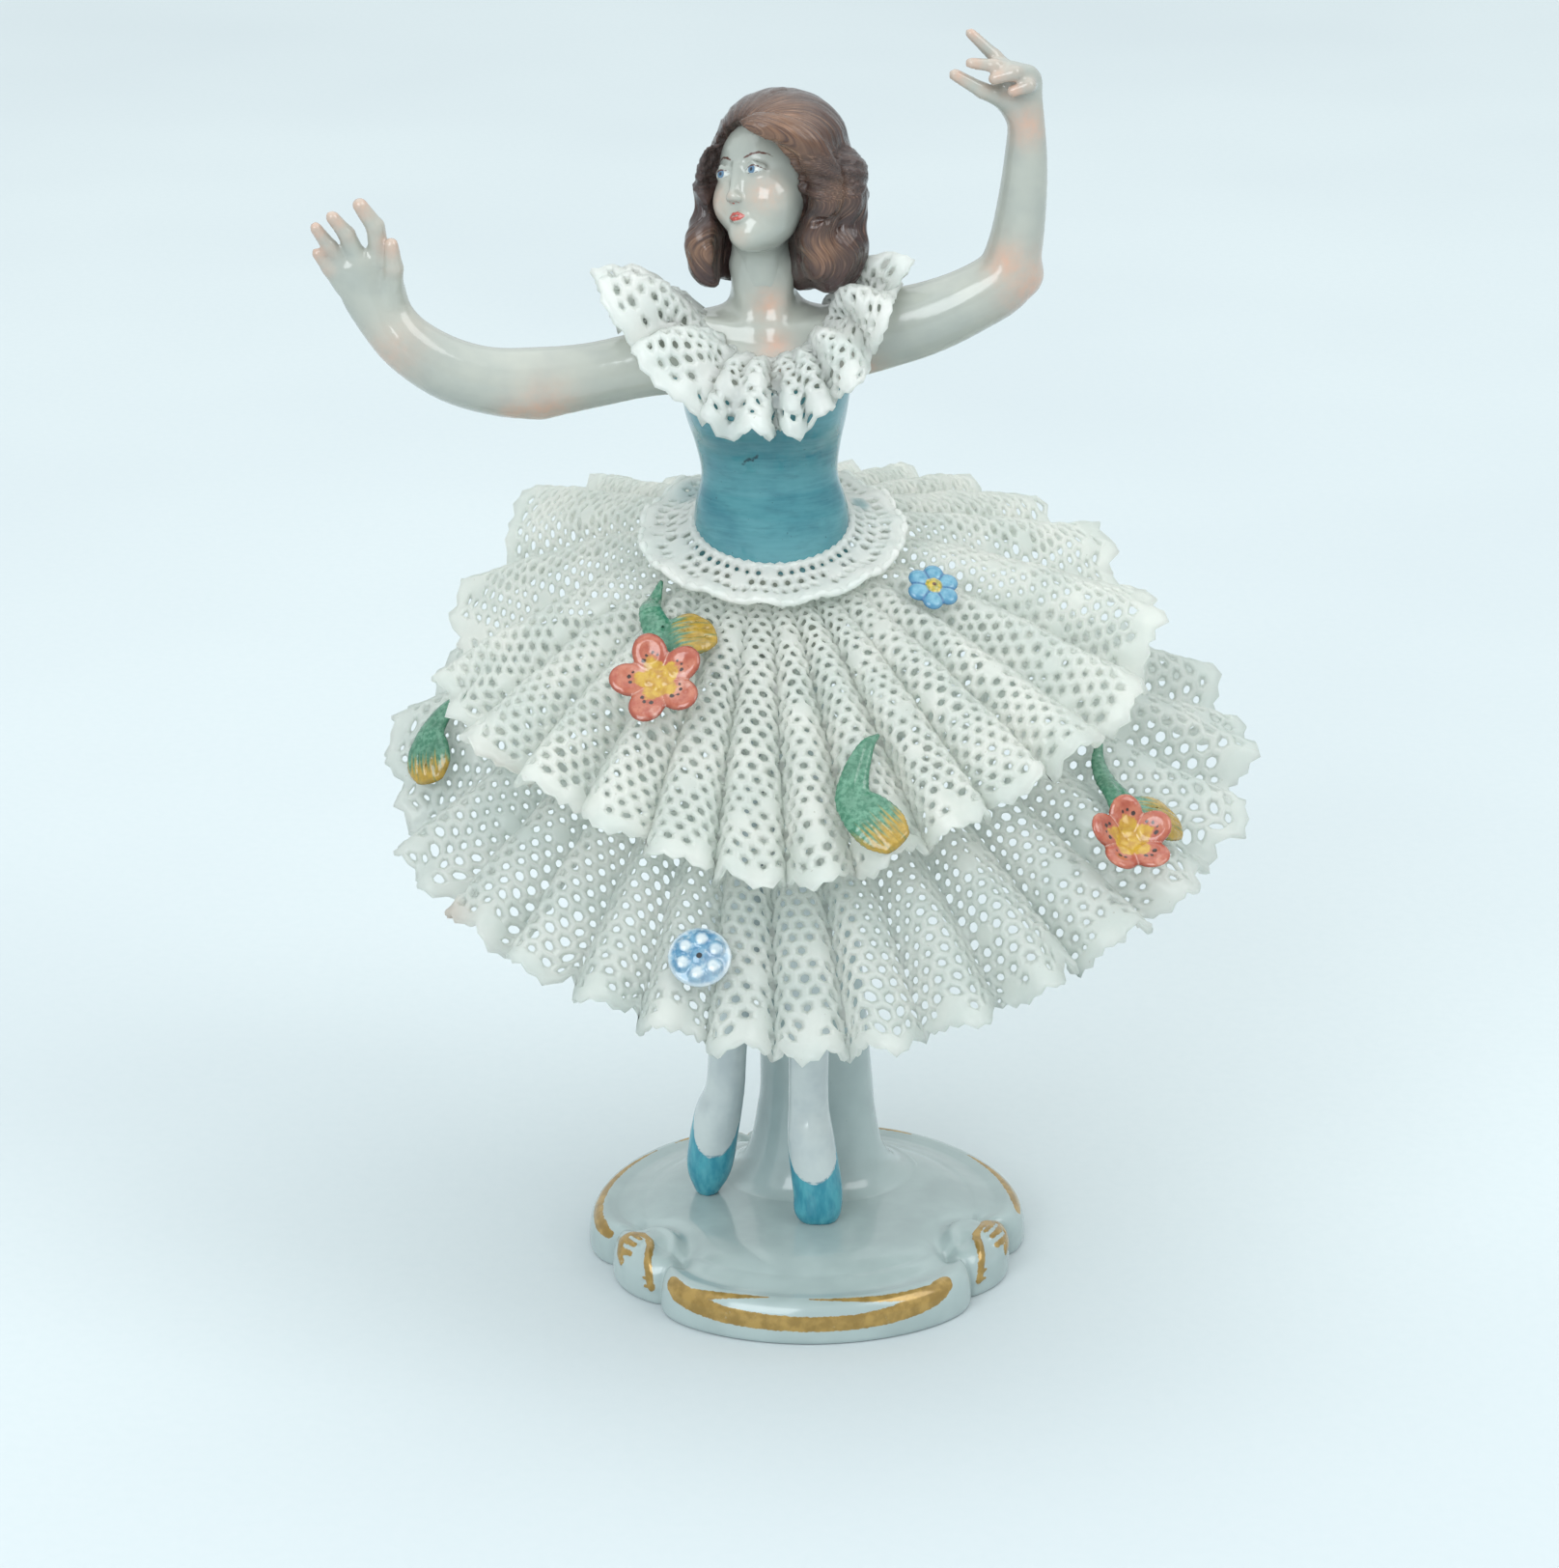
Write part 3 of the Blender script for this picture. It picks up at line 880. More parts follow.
def tier(sizes):
    """A skirt tier that hangs from a tilted ring round the hips to a hem that droops in front."""

    def mean(angle, down):
        """The tier without its folds."""
        ring = sizes["ring"] + sizes["tilt"] * np.sin(angle)
        ring_x, ring_y, half_x, half_y = torso_at(ring)
        start_x = ring_x + (half_x + 0.85) * np.cos(angle)
        start_y = ring_y + (half_y + 0.85) * np.sin(angle)
        hem_x = sizes["hem_x"] + sizes["radius"] * sizes["wide"] * np.cos(angle)
        hem_y = sizes["radius"] * sizes["deep"] * np.sin(angle)
        turned = np.degrees(angle) % 360
        lifted = 5 * np.exp(-(((turned - sizes["fold_at"]) / 17) ** 2))
        hem_z = sizes["height"] + sizes["droop"] * np.sin(angle) + 2 * np.cos(angle)
        hem_z = hem_z + sizes["side_lift"] * np.cos(2 * angle) + lifted
        hem_z = hem_z + sizes["diagonal_lift"] * np.maximum(0, -np.sin(angle)) * wave(angle, 2) ** 2
        fall = np.abs(down) ** sizes["bell"]
        x = start_x + (hem_x - start_x) * down
        y = start_y + (hem_y - start_y) * down
        return np.stack([x, y, ring + (hem_z - ring) * fall], -1)

    def phase_at(angle):
        """Which fold it is and where in it; the folds crowd towards the front and the back."""
        bunched = sizes["crowding"] * wave(angle, 2) - 0.9 * wave(angle, 3, sizes["shift"])
        return sizes["pleats"] * angle - bunched

    def depth_at(down):
        """Depth of the folds, which fan out from the gathers to the hem."""
        return sizes["depth"] * (0.05 + 0.95 * down)

    def fold_at(angle, down):
        """How far the folds stand off the mean form; they are deeper where they are broad."""
        crowding = (phase_at(angle + 0.01) - phase_at(angle - 0.01)) / 0.02 / sizes["pleats"]
        phase = phase_at(angle)
        uneven = (1 + 0.2 * wave(angle, 5, sizes["shift"])) / crowding**0.3
        return depth_at(down) * uneven * (np.sin(phase) + 0.15 * np.sin(2 * phase + 0.8))

    def pleated(angle, down):
        """The lace as it hangs: rounded crests, narrow valleys, small ripples towards the hem."""
        radius = np.maximum(9.0, np.hypot(*np.moveaxis(mean(angle, down)[..., :2], -1, 0)))
        bulge = 0.3 * depth_at(down) * np.cos(phase_at(angle)) / radius
        turned = angle - bulge
        ragged = 0.012 * wave(angle, 41, 1.0) + 0.008 * wave(angle, 67, 2.0) + 0.006 * wave(angle, 97)
        low = np.clip((down - 0.75) / 0.25, 0, 1)
        lobes = 0.04 * low**2 * np.clip(-1.3 * np.sin(angle), 0, 1) * (1 - np.sin(phase_at(angle) + 0.25)) / 2
        reach = down * (1 + ragged * low - lobes)
        ripple = 0.16 * np.sin(9 * down + 31 * angle) + 0.12 * np.sin(23 * down - 17 * angle + 1.3)
        ripple = ripple + 0.5 * np.clip((down - 0.72) / 0.28, 0, 1) ** 2 * wave(angle, 71, 0.7)
        place = mean(turned, reach)
        twist = 2.5 * wave(angle, 7, sizes["shift"])
        crease = 0.16 * sizes["depth"] * down * np.sin(2 * phase_at(angle) + twist)
        offset = fold_at(angle, down) + crease + ripple * (0.3 + 0.7 * down)
        return place + normals_of(mean, turned, reach) * offset[..., None]

    return {"mean": mean, "pleated": pleated, "fold_at": fold_at, "depth_at": depth_at}


def even_turn(surface, down):
    """Turns a share of the way along the gathered lace into an angle round the skirt."""
    angle = np.linspace(0, 2 * math.pi, 7201)
    line = surface(angle, np.full(angle.shape, down))
    length = np.concatenate([[0], np.cumsum(np.linalg.norm(np.diff(line, axis=0), axis=1))])
    return lambda flat: np.interp(flat % (2 * math.pi), length / length[-1] * 2 * math.pi, angle)


def lace(name, surface, even_at, inner, outer, pitch, growth, openness, thickness, clogging, seed, node):
    """Net lace on a surface: rounded holes between shared strands, laid out on a flat ring and bent on.

    The holes are pitch mm apart at the inner edge and growth mm more at the outer one. They are evenly
    spread at the share even_at of the way down. Clogging gives shares of the way down, and beside them
    which share of the holes is closed by slip.
    """
    turn = even_turn(surface, even_at)
    chance = np.random.default_rng(seed)
    rows, count = [], 0
    radius = inner + 0.3 * pitch
    while radius < outer:
        spacing = pitch + growth * (radius - inner) / (outer - inner)
        around = 2 * math.pi * radius
        if count == 0 or around / count > 1.16 * spacing:
            count = round(around / (0.88 * spacing))
        rows.append([radius, count])
        radius += 0.87 * around / count
    spacing = rows[-1][0] - rows[-2][0]
    scale = (outer - 0.5 * spacing - inner) / (rows[-1][0] - inner)
    rows = [[inner + (r - inner) * scale, n] for r, n in rows]
    rows = [[rows[0][0] - 0.9, rows[0][1]], *rows, [rows[-1][0] + spacing, rows[-1][1]]]
    sites, real = [], []
    for index, (radius, number) in enumerate(rows):
        angle = (np.arange(number) + 0.5 * (index % 2)) * 2 * math.pi / number
        step = 2 * math.pi * radius / number
        angle = angle + chance.normal(0, 0.055, number) * step / radius
        away = radius + chance.normal(0, 0.055, number) * step
        if index == len(rows) - 1:
            away = away + chance.uniform(-0.25, 0.3, number) * step
        sites.append(np.stack([away * np.cos(angle), away * np.sin(angle)], -1))
        real.append(np.full(number, 0 < index < len(rows) - 1))
    sites, real = np.concatenate(sites), np.concatenate(real)
    triangles = np.array(delaunay_2d_cdt([Vector(s) for s in sites], [], [], 0, 1e-7)[2])
    a, b, c = (sites[triangles[:, k]] for k in range(3))
    area = (b[:, 0] - a[:, 0]) * (c[:, 1] - a[:, 1]) - (b[:, 1] - a[:, 1]) * (c[:, 0] - a[:, 0])
    triangles[area < 0] = triangles[area < 0][:, ::-1]
    triangles = triangles[real[triangles].any(1)]
    corners = sites[triangles].mean(1)

    # Each side of a cell: the cell, its neighbour, and the corners before and after the side.
    number = len(sites)
    owner = np.concatenate([triangles[:, k] for k in range(3)])
    other = np.concatenate([triangles[:, (k + 1) % 3] for k in range(3)])
    after = np.tile(np.arange(len(triangles)), 3)
    keys = owner * number + other
    order = np.argsort(keys)
    found = order[np.clip(np.searchsorted(keys[order], other * number + owner), 0, len(keys) - 1)]
    paired = (keys[found] == other * number + owner) & real[owner]
    owner, other, after, before = owner[paired], other[paired], after[paired], after[found][paired]
    place_in = np.repeat(np.arange(3), len(triangles))[paired]
    sides = np.bincount(owner, minlength=number)
    middle = [np.bincount(owner, corners[after, k], number) / np.maximum(sides, 1) for k in (0, 1)]
    middle = np.stack(middle, -1)
    side_middle = (corners[before] + corners[after]) / 2
    gap = np.linalg.norm(side_middle - middle[owner], axis=1)
    mean_gap = np.bincount(owner, gap, number) / np.maximum(sides, 1)
    least_gap = np.full(number, 99.0)
    np.minimum.at(least_gap, owner, gap)
    down = (np.hypot(*middle.T) - inner) / (outer - inner)
    flat = np.arctan2(middle[:, 1], middle[:, 0])
    patchy = 0.06 * np.sin(5 * flat + 9 * down) + 0.05 * np.sin(13 * flat - 14 * down + 1)
    hole = mean_gap * (openness + patchy + chance.normal(0, 0.045, number))
    hole = np.minimum(hole, 0.8 * least_gap)
    closed = (chance.random(number) < np.interp(down, *clogging))[owner]

    # Points: the strands' crossings above and below, a ring round each hole, the middles of closed
    # cells above and below, and a rounded rim.
    total = len(triangles)
    corner_way = corners[after] - middle[owner]
    corner_way /= np.linalg.norm(corner_way, axis=1, keepdims=True)
    side_way = (side_middle - middle[owner]) / gap[:, None]
    ring_corner = middle[owner] + corner_way * hole[owner][:, None] * 1.05
    ring_side = middle[owner] + side_way * hole[owner][:, None]
    first_corner = 2 * total
    first_side = first_corner + len(owner)
    first_centre = first_side + len(owner)
    first_rim = first_centre + 2 * number
    side_at = np.full((total, 3), -1)
    side_at[after, place_in] = np.arange(len(owner))
    previous = np.zeros(len(owner), int)
    for index in range(3):
        match = triangles[before, index] == owner
        previous[match] = side_at[before[match], index]
    here = first_corner + np.arange(len(owner))
    past = first_corner + previous
    mid = first_side + np.arange(len(owner))
    top_a, top_b = before, after
    low_a, low_b = before + total, after + total
    rim_a, rim_b = first_rim + before, first_rim + after
    centre = first_centre + owner
    edge = ~real[other]
    faces = [
        (~closed, top_a, top_b, mid), (~closed, top_a, mid, past), (~closed, top_b, here, mid),
        (~closed, low_b, low_a, mid), (~closed, mid, low_a, past), (~closed, here, low_b, mid),
        (closed, top_a, top_b, centre), (closed, low_b, low_a, centre + number),
        (edge, top_a, rim_a, rim_b), (edge, top_a, rim_b, top_b),
        (edge, rim_a, low_a, low_b), (edge, rim_a, low_b, rim_b),
    ]
    faces = np.concatenate([np.stack(three, 1)[where] for where, *three in faces])

    outward = corners / np.linalg.norm(corners, axis=1, keepdims=True)
    outward *= np.where(np.hypot(*corners.T) > (inner + outer) / 2, 1, -1)[:, None]
    rim = corners + 0.3 * thickness * outward
    half = thickness / 2 * (1 + 0.25 * np.sin(3 * corners[:, 0]) * np.sin(2.6 * corners[:, 1]))
    thin = np.full(number, 0.3 * thickness)
    places = np.concatenate([corners, corners, ring_corner, ring_side, middle, middle, rim])
    lifts = np.concatenate([half, -half, np.zeros(2 * len(owner)), thin, -thin, np.zeros(total)])
    used, faces = np.unique(faces, return_inverse=True)
    faces = faces.reshape(-1, 3)
    places, lifts = places[used], lifts[used]
    down = (np.hypot(*places.T) - inner) / (outer - inner)
    angle = turn(np.arctan2(places[:, 1], places[:, 0]))
    points = surface(angle, down) + normals_of(surface, angle, down) * lifts[:, None]
    masks = {"down": down, "turned": np.degrees(angle) % 360, "lift": np.abs(lifts) / thickness}
    return link_mesh(name, points, faces.tolist(), node, masks)


lower = tier(
    {"ring": 80.5, "tilt": 2.5, "hem_x": 1.3, "radius": 48, "wide": 1.027, "deep": 0.96, "height": 57.8,
     "droop": 11, "side_lift": 2.5, "diagonal_lift": 3, "fold_at": 163, "bell": 1.1, "depth": 2.4,
     "pleats": 27, "crowding": 5.5, "shift": 0.5}
)
lower_skirt = lace(
    "lower_skirt_lace", lower["pleated"], 0.8, 9.5, 53.5, 1.4, 0.25, 0.42, 0.8,
    [[0, 0.02, 0.04, 0.94, 0.96, 0.975], [0.9, 0.9, 0.03, 0.05, 0.35, 0.95]], 11, "lower_skirt",
)

# UPPER SKIRT: the same lace, gathered into deeper pleats and pinned above the first tier. Its folds
# crowd in front and open into broad panels at the sides; glaze pools along its hem.
upper = tier(
    {"ring": 89.6, "tilt": 3.2, "hem_x": -1.2, "radius": 39.5, "wide": 1.025, "deep": 0.975, "height": 74.6,
     "droop": 11.3, "side_lift": 1.6, "diagonal_lift": 4.5, "fold_at": 138, "bell": 1.25, "depth": 2.6,
     "pleats": 24, "crowding": 5, "shift": 2}
)
upper_skirt = lace(
    "upper_skirt_lace", upper["pleated"], 0.8, 9.5, 47.5, 1.35, 0.3, 0.415, 0.78,
    [[0, 0.02, 0.04, 0.93, 0.95, 0.97], [0.9, 0.9, 0.03, 0.05, 0.4, 0.95]], 12, "upper_skirt",
)

# WAIST FLOUNCE: a narrow strip of lace with a thicker woven edge, laid flat over the gathers where
# the bodice ends, to hide the seam.
flounce_width = 4.9


def flounce(angle, across):
    """The flounce as it lies: it starts at the bodice and rides on the gathers of the upper tier."""

    def lay(part):
        slope = np.linalg.norm(upper["mean"](angle, 0 * angle) - upper["mean"](angle, 0 * angle + 1), axis=-1)
        down = part * flounce_width / slope
        rise = 1.7 * upper["depth_at"](down) + 1.7 + 0.35 * part * wave(angle, 14)
        return upper["mean"](angle, down) + normals_of(upper["mean"], angle, down) * rise[..., None]

    height = lay(0 * angle)[..., 2]
    waist_x, waist_y, half_x, half_y = torso_at(height)
    start = np.stack(
        [waist_x + (half_x - 0.5) * np.cos(angle), waist_y + (half_y - 0.5) * np.sin(angle), height + 1.3], -1
    )
    share = np.minimum(1, 2.5 * across)[..., None]
    scallop = 0.14 * np.sin(across * 7 + 2) + 0.18 * np.clip(across - 0.5, 0, 1) * wave(angle, 46)
    place = start + (lay(across) - start) * share
    return place + np.stack([0 * angle, 0 * angle, scallop], -1)


shares = np.linspace(0, 1, 400)
flounce_line = flounce(np.full(400, 1.5 * math.pi), shares)
flounce_length = np.concatenate([[0], np.cumsum(np.linalg.norm(np.diff(flounce_line, axis=0), axis=1))])


def flounce_laid(angle, out):
    """The flounce with its width measured along the lace."""
    across = np.interp(out, flounce_length / flounce_length[-1], shares)
    return flounce(angle, across + out - np.clip(out, 0, 1))


waist_flounce = lace(
    "waist_flounce_lace", flounce_laid, 0.5, 10.2, 10.2 + flounce_length[-1], 1.6, 0.0, 0.4, 0.8,
    [[0, 0.1, 0.14, 0.84, 0.9], [1, 1, 0.12, 0.12, 1]], 13, "waist_flounce",
)


def cord(name, line, radius):
    """A closed round cord on the flounce along a line of points, its radius given for each point."""
    along = np.roll(line, -1, axis=0) - np.roll(line, 1, axis=0)
    along /= np.linalg.norm(along, axis=1, keepdims=True)
    side = np.cross(along, [0, 0, 1.0])
    side /= np.linalg.norm(side, axis=1, keepdims=True)
    up = np.cross(side, along)
    sides = 8
    turn = np.arange(sides) * 2 * math.pi / sides
    ring = side[:, None] * np.cos(turn)[None, :, None] + up[:, None] * np.sin(turn)[None, :, None]
    points = (line[:, None] + ring * radius[:, None, None]).reshape(-1, 3)
    faces = grid_faces(len(line), sides)
    last = (len(line) - 1) * sides
    for left, right in zip(range(sides), (*range(1, sides), 0)):
        faces.append([last + left, last + right, right, left])
    masks = {"down": np.ones(len(points)), "turned": np.zeros(len(points)), "lift": np.full(len(points), 0.5)}
    return link_mesh(name, points, faces, "waist_flounce", masks)


around = np.linspace(0, 2 * math.pi, 540, endpoint=False)
flounce_edge = cord(
    "waist_flounce_edge", flounce(around, np.full(540, 0.99)) + [0, 0, 0.12],
    0.4 + 0.08 * wave(around, 46) + 0.06 * wave(around, 27),
)
flounce_joint = cord(
    "waist_flounce_joint", flounce(around, np.full(540, 0.13)) + [0, 0, 0.05],
    0.36 + 0.07 * wave(around, 37) + 0.07 * wave(around, 23),
)

# COLLAR: a ruffle of wider net, stitched to a neckline that dips in front and behind and pulled off
# the shoulders, its frills stood up with a brush while the slip was wet.
collar_frills = 13
collar_frill_depth = 2.3
collar_radius = 13


def collar_mean(angle, out):
    """The ruffle without its frills, from the neckline to the outer edge, draped over the shoulders."""
    over = np.cos(angle) ** 2
    inner = np.stack(
        [-4.6 + 7.2 * np.cos(angle), -0.8 + 5.2 * np.sin(angle), 113 + 3.4 * over + 0.5 * np.cos(angle)], -1
    )
    left = np.maximum(0, -np.cos(angle))
    outer = np.stack(
        [-4.6 + (14.4 + 4.2 * left) * np.cos(angle), -1.1 + 10.6 * np.sin(angle),
         105.6 + 14 * over**1.3 + 0.8 * np.cos(angle)], -1,
    )
    middle = inner + (outer - inner) * out[..., None]
    middle[..., 2] += 2.2 * np.sin(out * math.pi)
    return middle


def collar(angle, out):
    """The ruffle with its frills, which are crimped and ragged at the outer edge."""
    phase = collar_frills * angle + 0.8 * wave(angle, 2, 1)
    uneven = 1 + 0.5 * np.cos(angle) ** 2 + 0.3 * wave(angle, 3, 2)
    depth = collar_frill_depth * (0.05 + 0.95 * out) * uneven
    turned = angle - 0.5 * depth * np.cos(phase) / collar_radius
    far = np.maximum(out, 0)
    crimp = 0.8 * wave(angle, 31, 2.2 * wave(angle, 5)) + 0.3 * wave(angle, 47, 3 * out)
    fold = 0.85 * np.sin(phase) + 0.5 * np.sin(2 * phase + 1.1 + 1.8 * wave(angle, 3))
    fold = fold + 0.2 * np.sin(3 * phase + 2 * wave(angle, 2))
    lift = depth * fold + crimp * far**1.5 + 0.3 * np.sin(9 * out + 23 * angle)
    ragged = 0.022 * wave(angle, 37) + 0.022 * wave(angle, 23, 1)
    reach = out * (1 + ragged - 0.04 * far * (1 - np.sin(phase)))
    return collar_mean(turned, reach) + normals_of(collar_mean, turned, reach) * lift[..., None]


collar_ruffle = lace(
    "collar_lace", collar, 0.7, 8.0, 17.5, 0.98, 0.0, 0.37, 0.9,
    [[0, 0.08, 0.12, 0.88, 0.95], [0.9, 0.9, 0.12, 0.2, 0.85]], 14, "collar_ruffle",
)

# Fired lace: a matt-looking white net that light passes through a little, wet-looking where glaze
# pooled at the hems and crests, faintly greenish-grey deep in the folds, with a rusty touch at one
# hem and a breath of teal where the bodice was painted beside the flounce.
# Each glaze: name, whiter and greyer tone, share of light let through, share of rust, its pieces.
trimmings = [collar_ruffle, waist_flounce, flounce_edge, flounce_joint]
lace_glazes = [
    ["fired lace porcelain", "#FAFAF6", "#F0F3EF", 0.7, 0.12, [upper_skirt]],
    ["fired lace porcelain, trimmings", "#FAFAF7", "#F4F7F4", 0.6, 0.12, trimmings],
    ["fired lace porcelain, lower tier", "#EFF0EC", "#E6EAE6", 0.7, 0.3, [lower_skirt]],
]
# Where the teal ran: place, how far it spread, share.
teal_stains = [[(-13.0, 6.0, 93.5), 3.6, 0.4], [(6.0, 3.0, 93.6), 1.5, 0.7]]
for name, whiter, greyer, see_through, rust, pieces in lace_glazes:
    lace_glaze, tree, mm = new_material(name)
    colour = laid_on(tree, whiter, greyer, patches(tree, mm, 6.0, 0.3, 0.7))
    colour = laid_on(tree, colour, "#DDE4DD", graded(tree, "lift", 0.0, 0.4, 0.15, 0.0))
    colour = laid_on(tree, colour, "#CFDAD5", graded(tree, "down", 0.0, 0.4, 0.1, 0.0))
    colour = laid_on(tree, colour, "#B9B4A4", patches(tree, mm, 0.6, 0.76, 0.8, 0.0, 0.35, detail=1.0))
    rusty = graded(tree, "turned", 207.0, 212.0), graded(tree, "turned", 212.0, 219.0, 1.0, 0.0)
    colour = laid_on(tree, colour, "#B9875F", *rusty, graded(tree, "down", 0.93, 1.0), rust)
    for place, reach, share in teal_stains:
        gap = add(tree, "VectorMath", {0: mm, 1: place}, operation="DISTANCE").outputs["Value"]
        colour = laid_on(tree, colour, "#7FAFB4", graded(tree, gap, 0.3 * reach, reach, share, 0.0))
    glazed(tree, mm, colour, roughness=0.28, coat=0.5, see_through=see_through)
    for piece in pieces:
        piece.data.materials.append(lace_glaze)

# FLOWERS, LEAVES AND BUDS: pinched by hand from the same paste, stuck on the raw lace with slip,
# glazed white and painted in coral, yellow, blue and green with a fine brush.
# Flowers lean towards the viewer by this share.
trim_lean = 0.3


def crest_on(skirt, angle, down, half_span):
    """How high the folds of a tier and half its lace stand, within half_span mm on both sides."""
    reach = half_span / np.linalg.norm(skirt["mean"](angle, down))
    turned = angle + np.linspace(-1, 1, 13) * reach
    return skirt["fold_at"](turned, np.full(13, float(down))).max() + 0.75


def place_trim(node, grid, skirt, degrees, down, lift, masks_of):
    """Nets a trim that was shaped flat and sticks it on a tier's crests, leaning to the front."""
    mean, angle, at = skirt["mean"], np.array(math.radians(degrees)), np.array(float(down))
    normal = normals_of(mean, angle, at)
    downhill = mean(angle, at + 0.01) - mean(angle, at - 0.01)
    facing = normal + trim_lean * np.array([0, -1.0, 0.35])
    facing /= np.linalg.norm(facing)
    across = np.cross(facing, downhill)
    across /= np.linalg.norm(across)
    directions = np.array([across, np.cross(facing, across), facing])
    origin = mean(angle, at) + normal * (crest_on(skirt, angle, at, 3.6) + lift + 2 * trim_lean)
    points, faces = netted(grid)
    return link_mesh(f"{node}_trim", points @ directions + origin, faces, node, masks_of(*points.T))


petal_turns = [math.radians(270 + 72 * k) for k in range(5)]


def coral_flower(node, skirt, degrees, down, lift, cup):
    """Five hollowed petals round a raised middle with five beads, stuck on with a dab of paste."""
    grid = new_grid([-6.3, -6.3, -3.4], [6.3, 6.3, 3.9], 0.2)
    petals = []
    for index, turn in enumerate(petal_turns):
        tilt = math.radians(cup + 3 * math.sin(3 * index))
        out = np.array([math.cos(turn) * math.cos(tilt), math.sin(turn) * math.cos(tilt), math.sin(tilt)])
        side = np.array([-math.sin(turn), math.cos(turn), 0])
        petals.append([out, side, np.cross(out, side)])
    for index, (out, side, up) in enumerate(petals):
        middle = out * (3.3 + 0.12 * math.cos(2.1 * index)) + [0, 0, 0.75]
        join(grid, oval(middle, [2.35, 2.02, 0.62], [out, side, up]), 0.12)
    for out, side, up in petals:
        cut_away(grid, oval(out * 3.55 + [0, 0, 0.75] + up * 1.45, [1.8, 1.6, 1.15], [out, side, up]), 0.35)
    join(grid, oval([0, 0, 0.75], [2.2, 2.2, 0.55]), 0.5)
    join(grid, rod([0, 0, 0.2], [0, 0.3, -1.7], 1.1, 1.35), 0.6)
    join(grid, oval([0, 0, 1.2], [1.15, 1.15, 0.5]), 0.3)
    for petal in petal_turns:
        join(grid, oval([math.cos(petal + 0.3), math.sin(petal + 0.3), 1.45], [0.36, 0.36, 0.3]), 0.15)
    cut_away(grid, oval([0, 0, 1.95], [0.5, 0.5, 0.5]), 0.2)

    def masks_of(x, y, z):
        away = np.hypot(x, y)
        turn = np.arctan2(y, x) - petal_turns[0]
        ways = [(x * math.cos(p) + y * math.sin(p), y * math.cos(p) - x * math.sin(p)) for p in petal_turns]
        dots = np.full(len(x), far_off)
        for index, (along, across) in enumerate(ways):
            spots = [(2.75, -0.75), (3.15, -0.3 + 0.1 * (index % 3)), (3.0, 0.45), (2.5, 0.9)]
            for out, side in spots[: 3 + index % 2]:
                size = 0.22 + 0.05 * math.sin(7 * out + index)
                dots = np.minimum(dots, np.hypot(along - out, across - side) - size)
        petal = np.min([np.hypot((along - 3.1) / 2.3, across / 2.0) for along, across in ways], axis=0)
        return {
            "yellow": away - (2.35 + 0.4 * np.cos(5 * turn)),
            "dots": np.where(z > 0.35, dots, far_off),
            "gap": np.abs(np.sin(2.5 * turn + math.pi / 2)) * away,
            "rim": 2.1 * petal,
            "paste": z + 0.3,
        }

    return place_trim(node, grid, skirt, degrees, down, lift, masks_of)


def blue_flower(node, skirt, degrees, down, lift, on_disc):
    """Six small petals round a bead, either by themselves or on a round disc, stuck on with paste."""
    grid = new_grid([-4.2, -4.2, -2.4], [4.2, 4.2, 2.2], 0.17)
    size, thick, high, bead, eye = (0.98, 0.42, 0.9, 0.4, 0.34) if on_disc else (1.2, 0.55, 0.6, 0.55, 0.26)
    petals = [(1.95 * math.cos(turn), 1.95 * math.sin(turn)) for turn in np.radians(30 + 60 * np.arange(6))]
    if on_disc:
        join(grid, oval([0, 0, 0.45], [3.55, 3.45, 0.6]))
    for petal_x, petal_y in petals:
        join(grid, oval([petal_x, petal_y, high], [size, size, thick]), 0.12)
        if not on_disc:
            cut_away(grid, oval([petal_x, petal_y, 1.6], [0.75, 0.75, 0.6]), 0.25)
    join(grid, oval([0, 0, 0.75], [1.0, 1.0, bead]), 0.2)
    cut_away(grid, oval([0, 0, 1.4], [0.3, 0.3, 0.4]), 0.12)
    join(grid, rod([0, 0, 0.3], [0, 0.2, -1.0], 0.8, 1.0), 0.4)

    def masks_of(x, y, z):
        away = np.hypot(x, y)
        petal = np.min([np.hypot(x - petal_x, y - petal_y) for petal_x, petal_y in petals], axis=0)
        between = np.abs(np.sin(3 * np.arctan2(y, x))) * away
        masks = {"middle": away - 1.0, "dot": away - eye, "petal": petal, "away": away}
        return {**masks, "side": x - y, "between": between, "paste": z + 0.3}

    return place_trim(node, grid, skirt, degrees, down, lift, masks_of)


leaf_width = 5.8


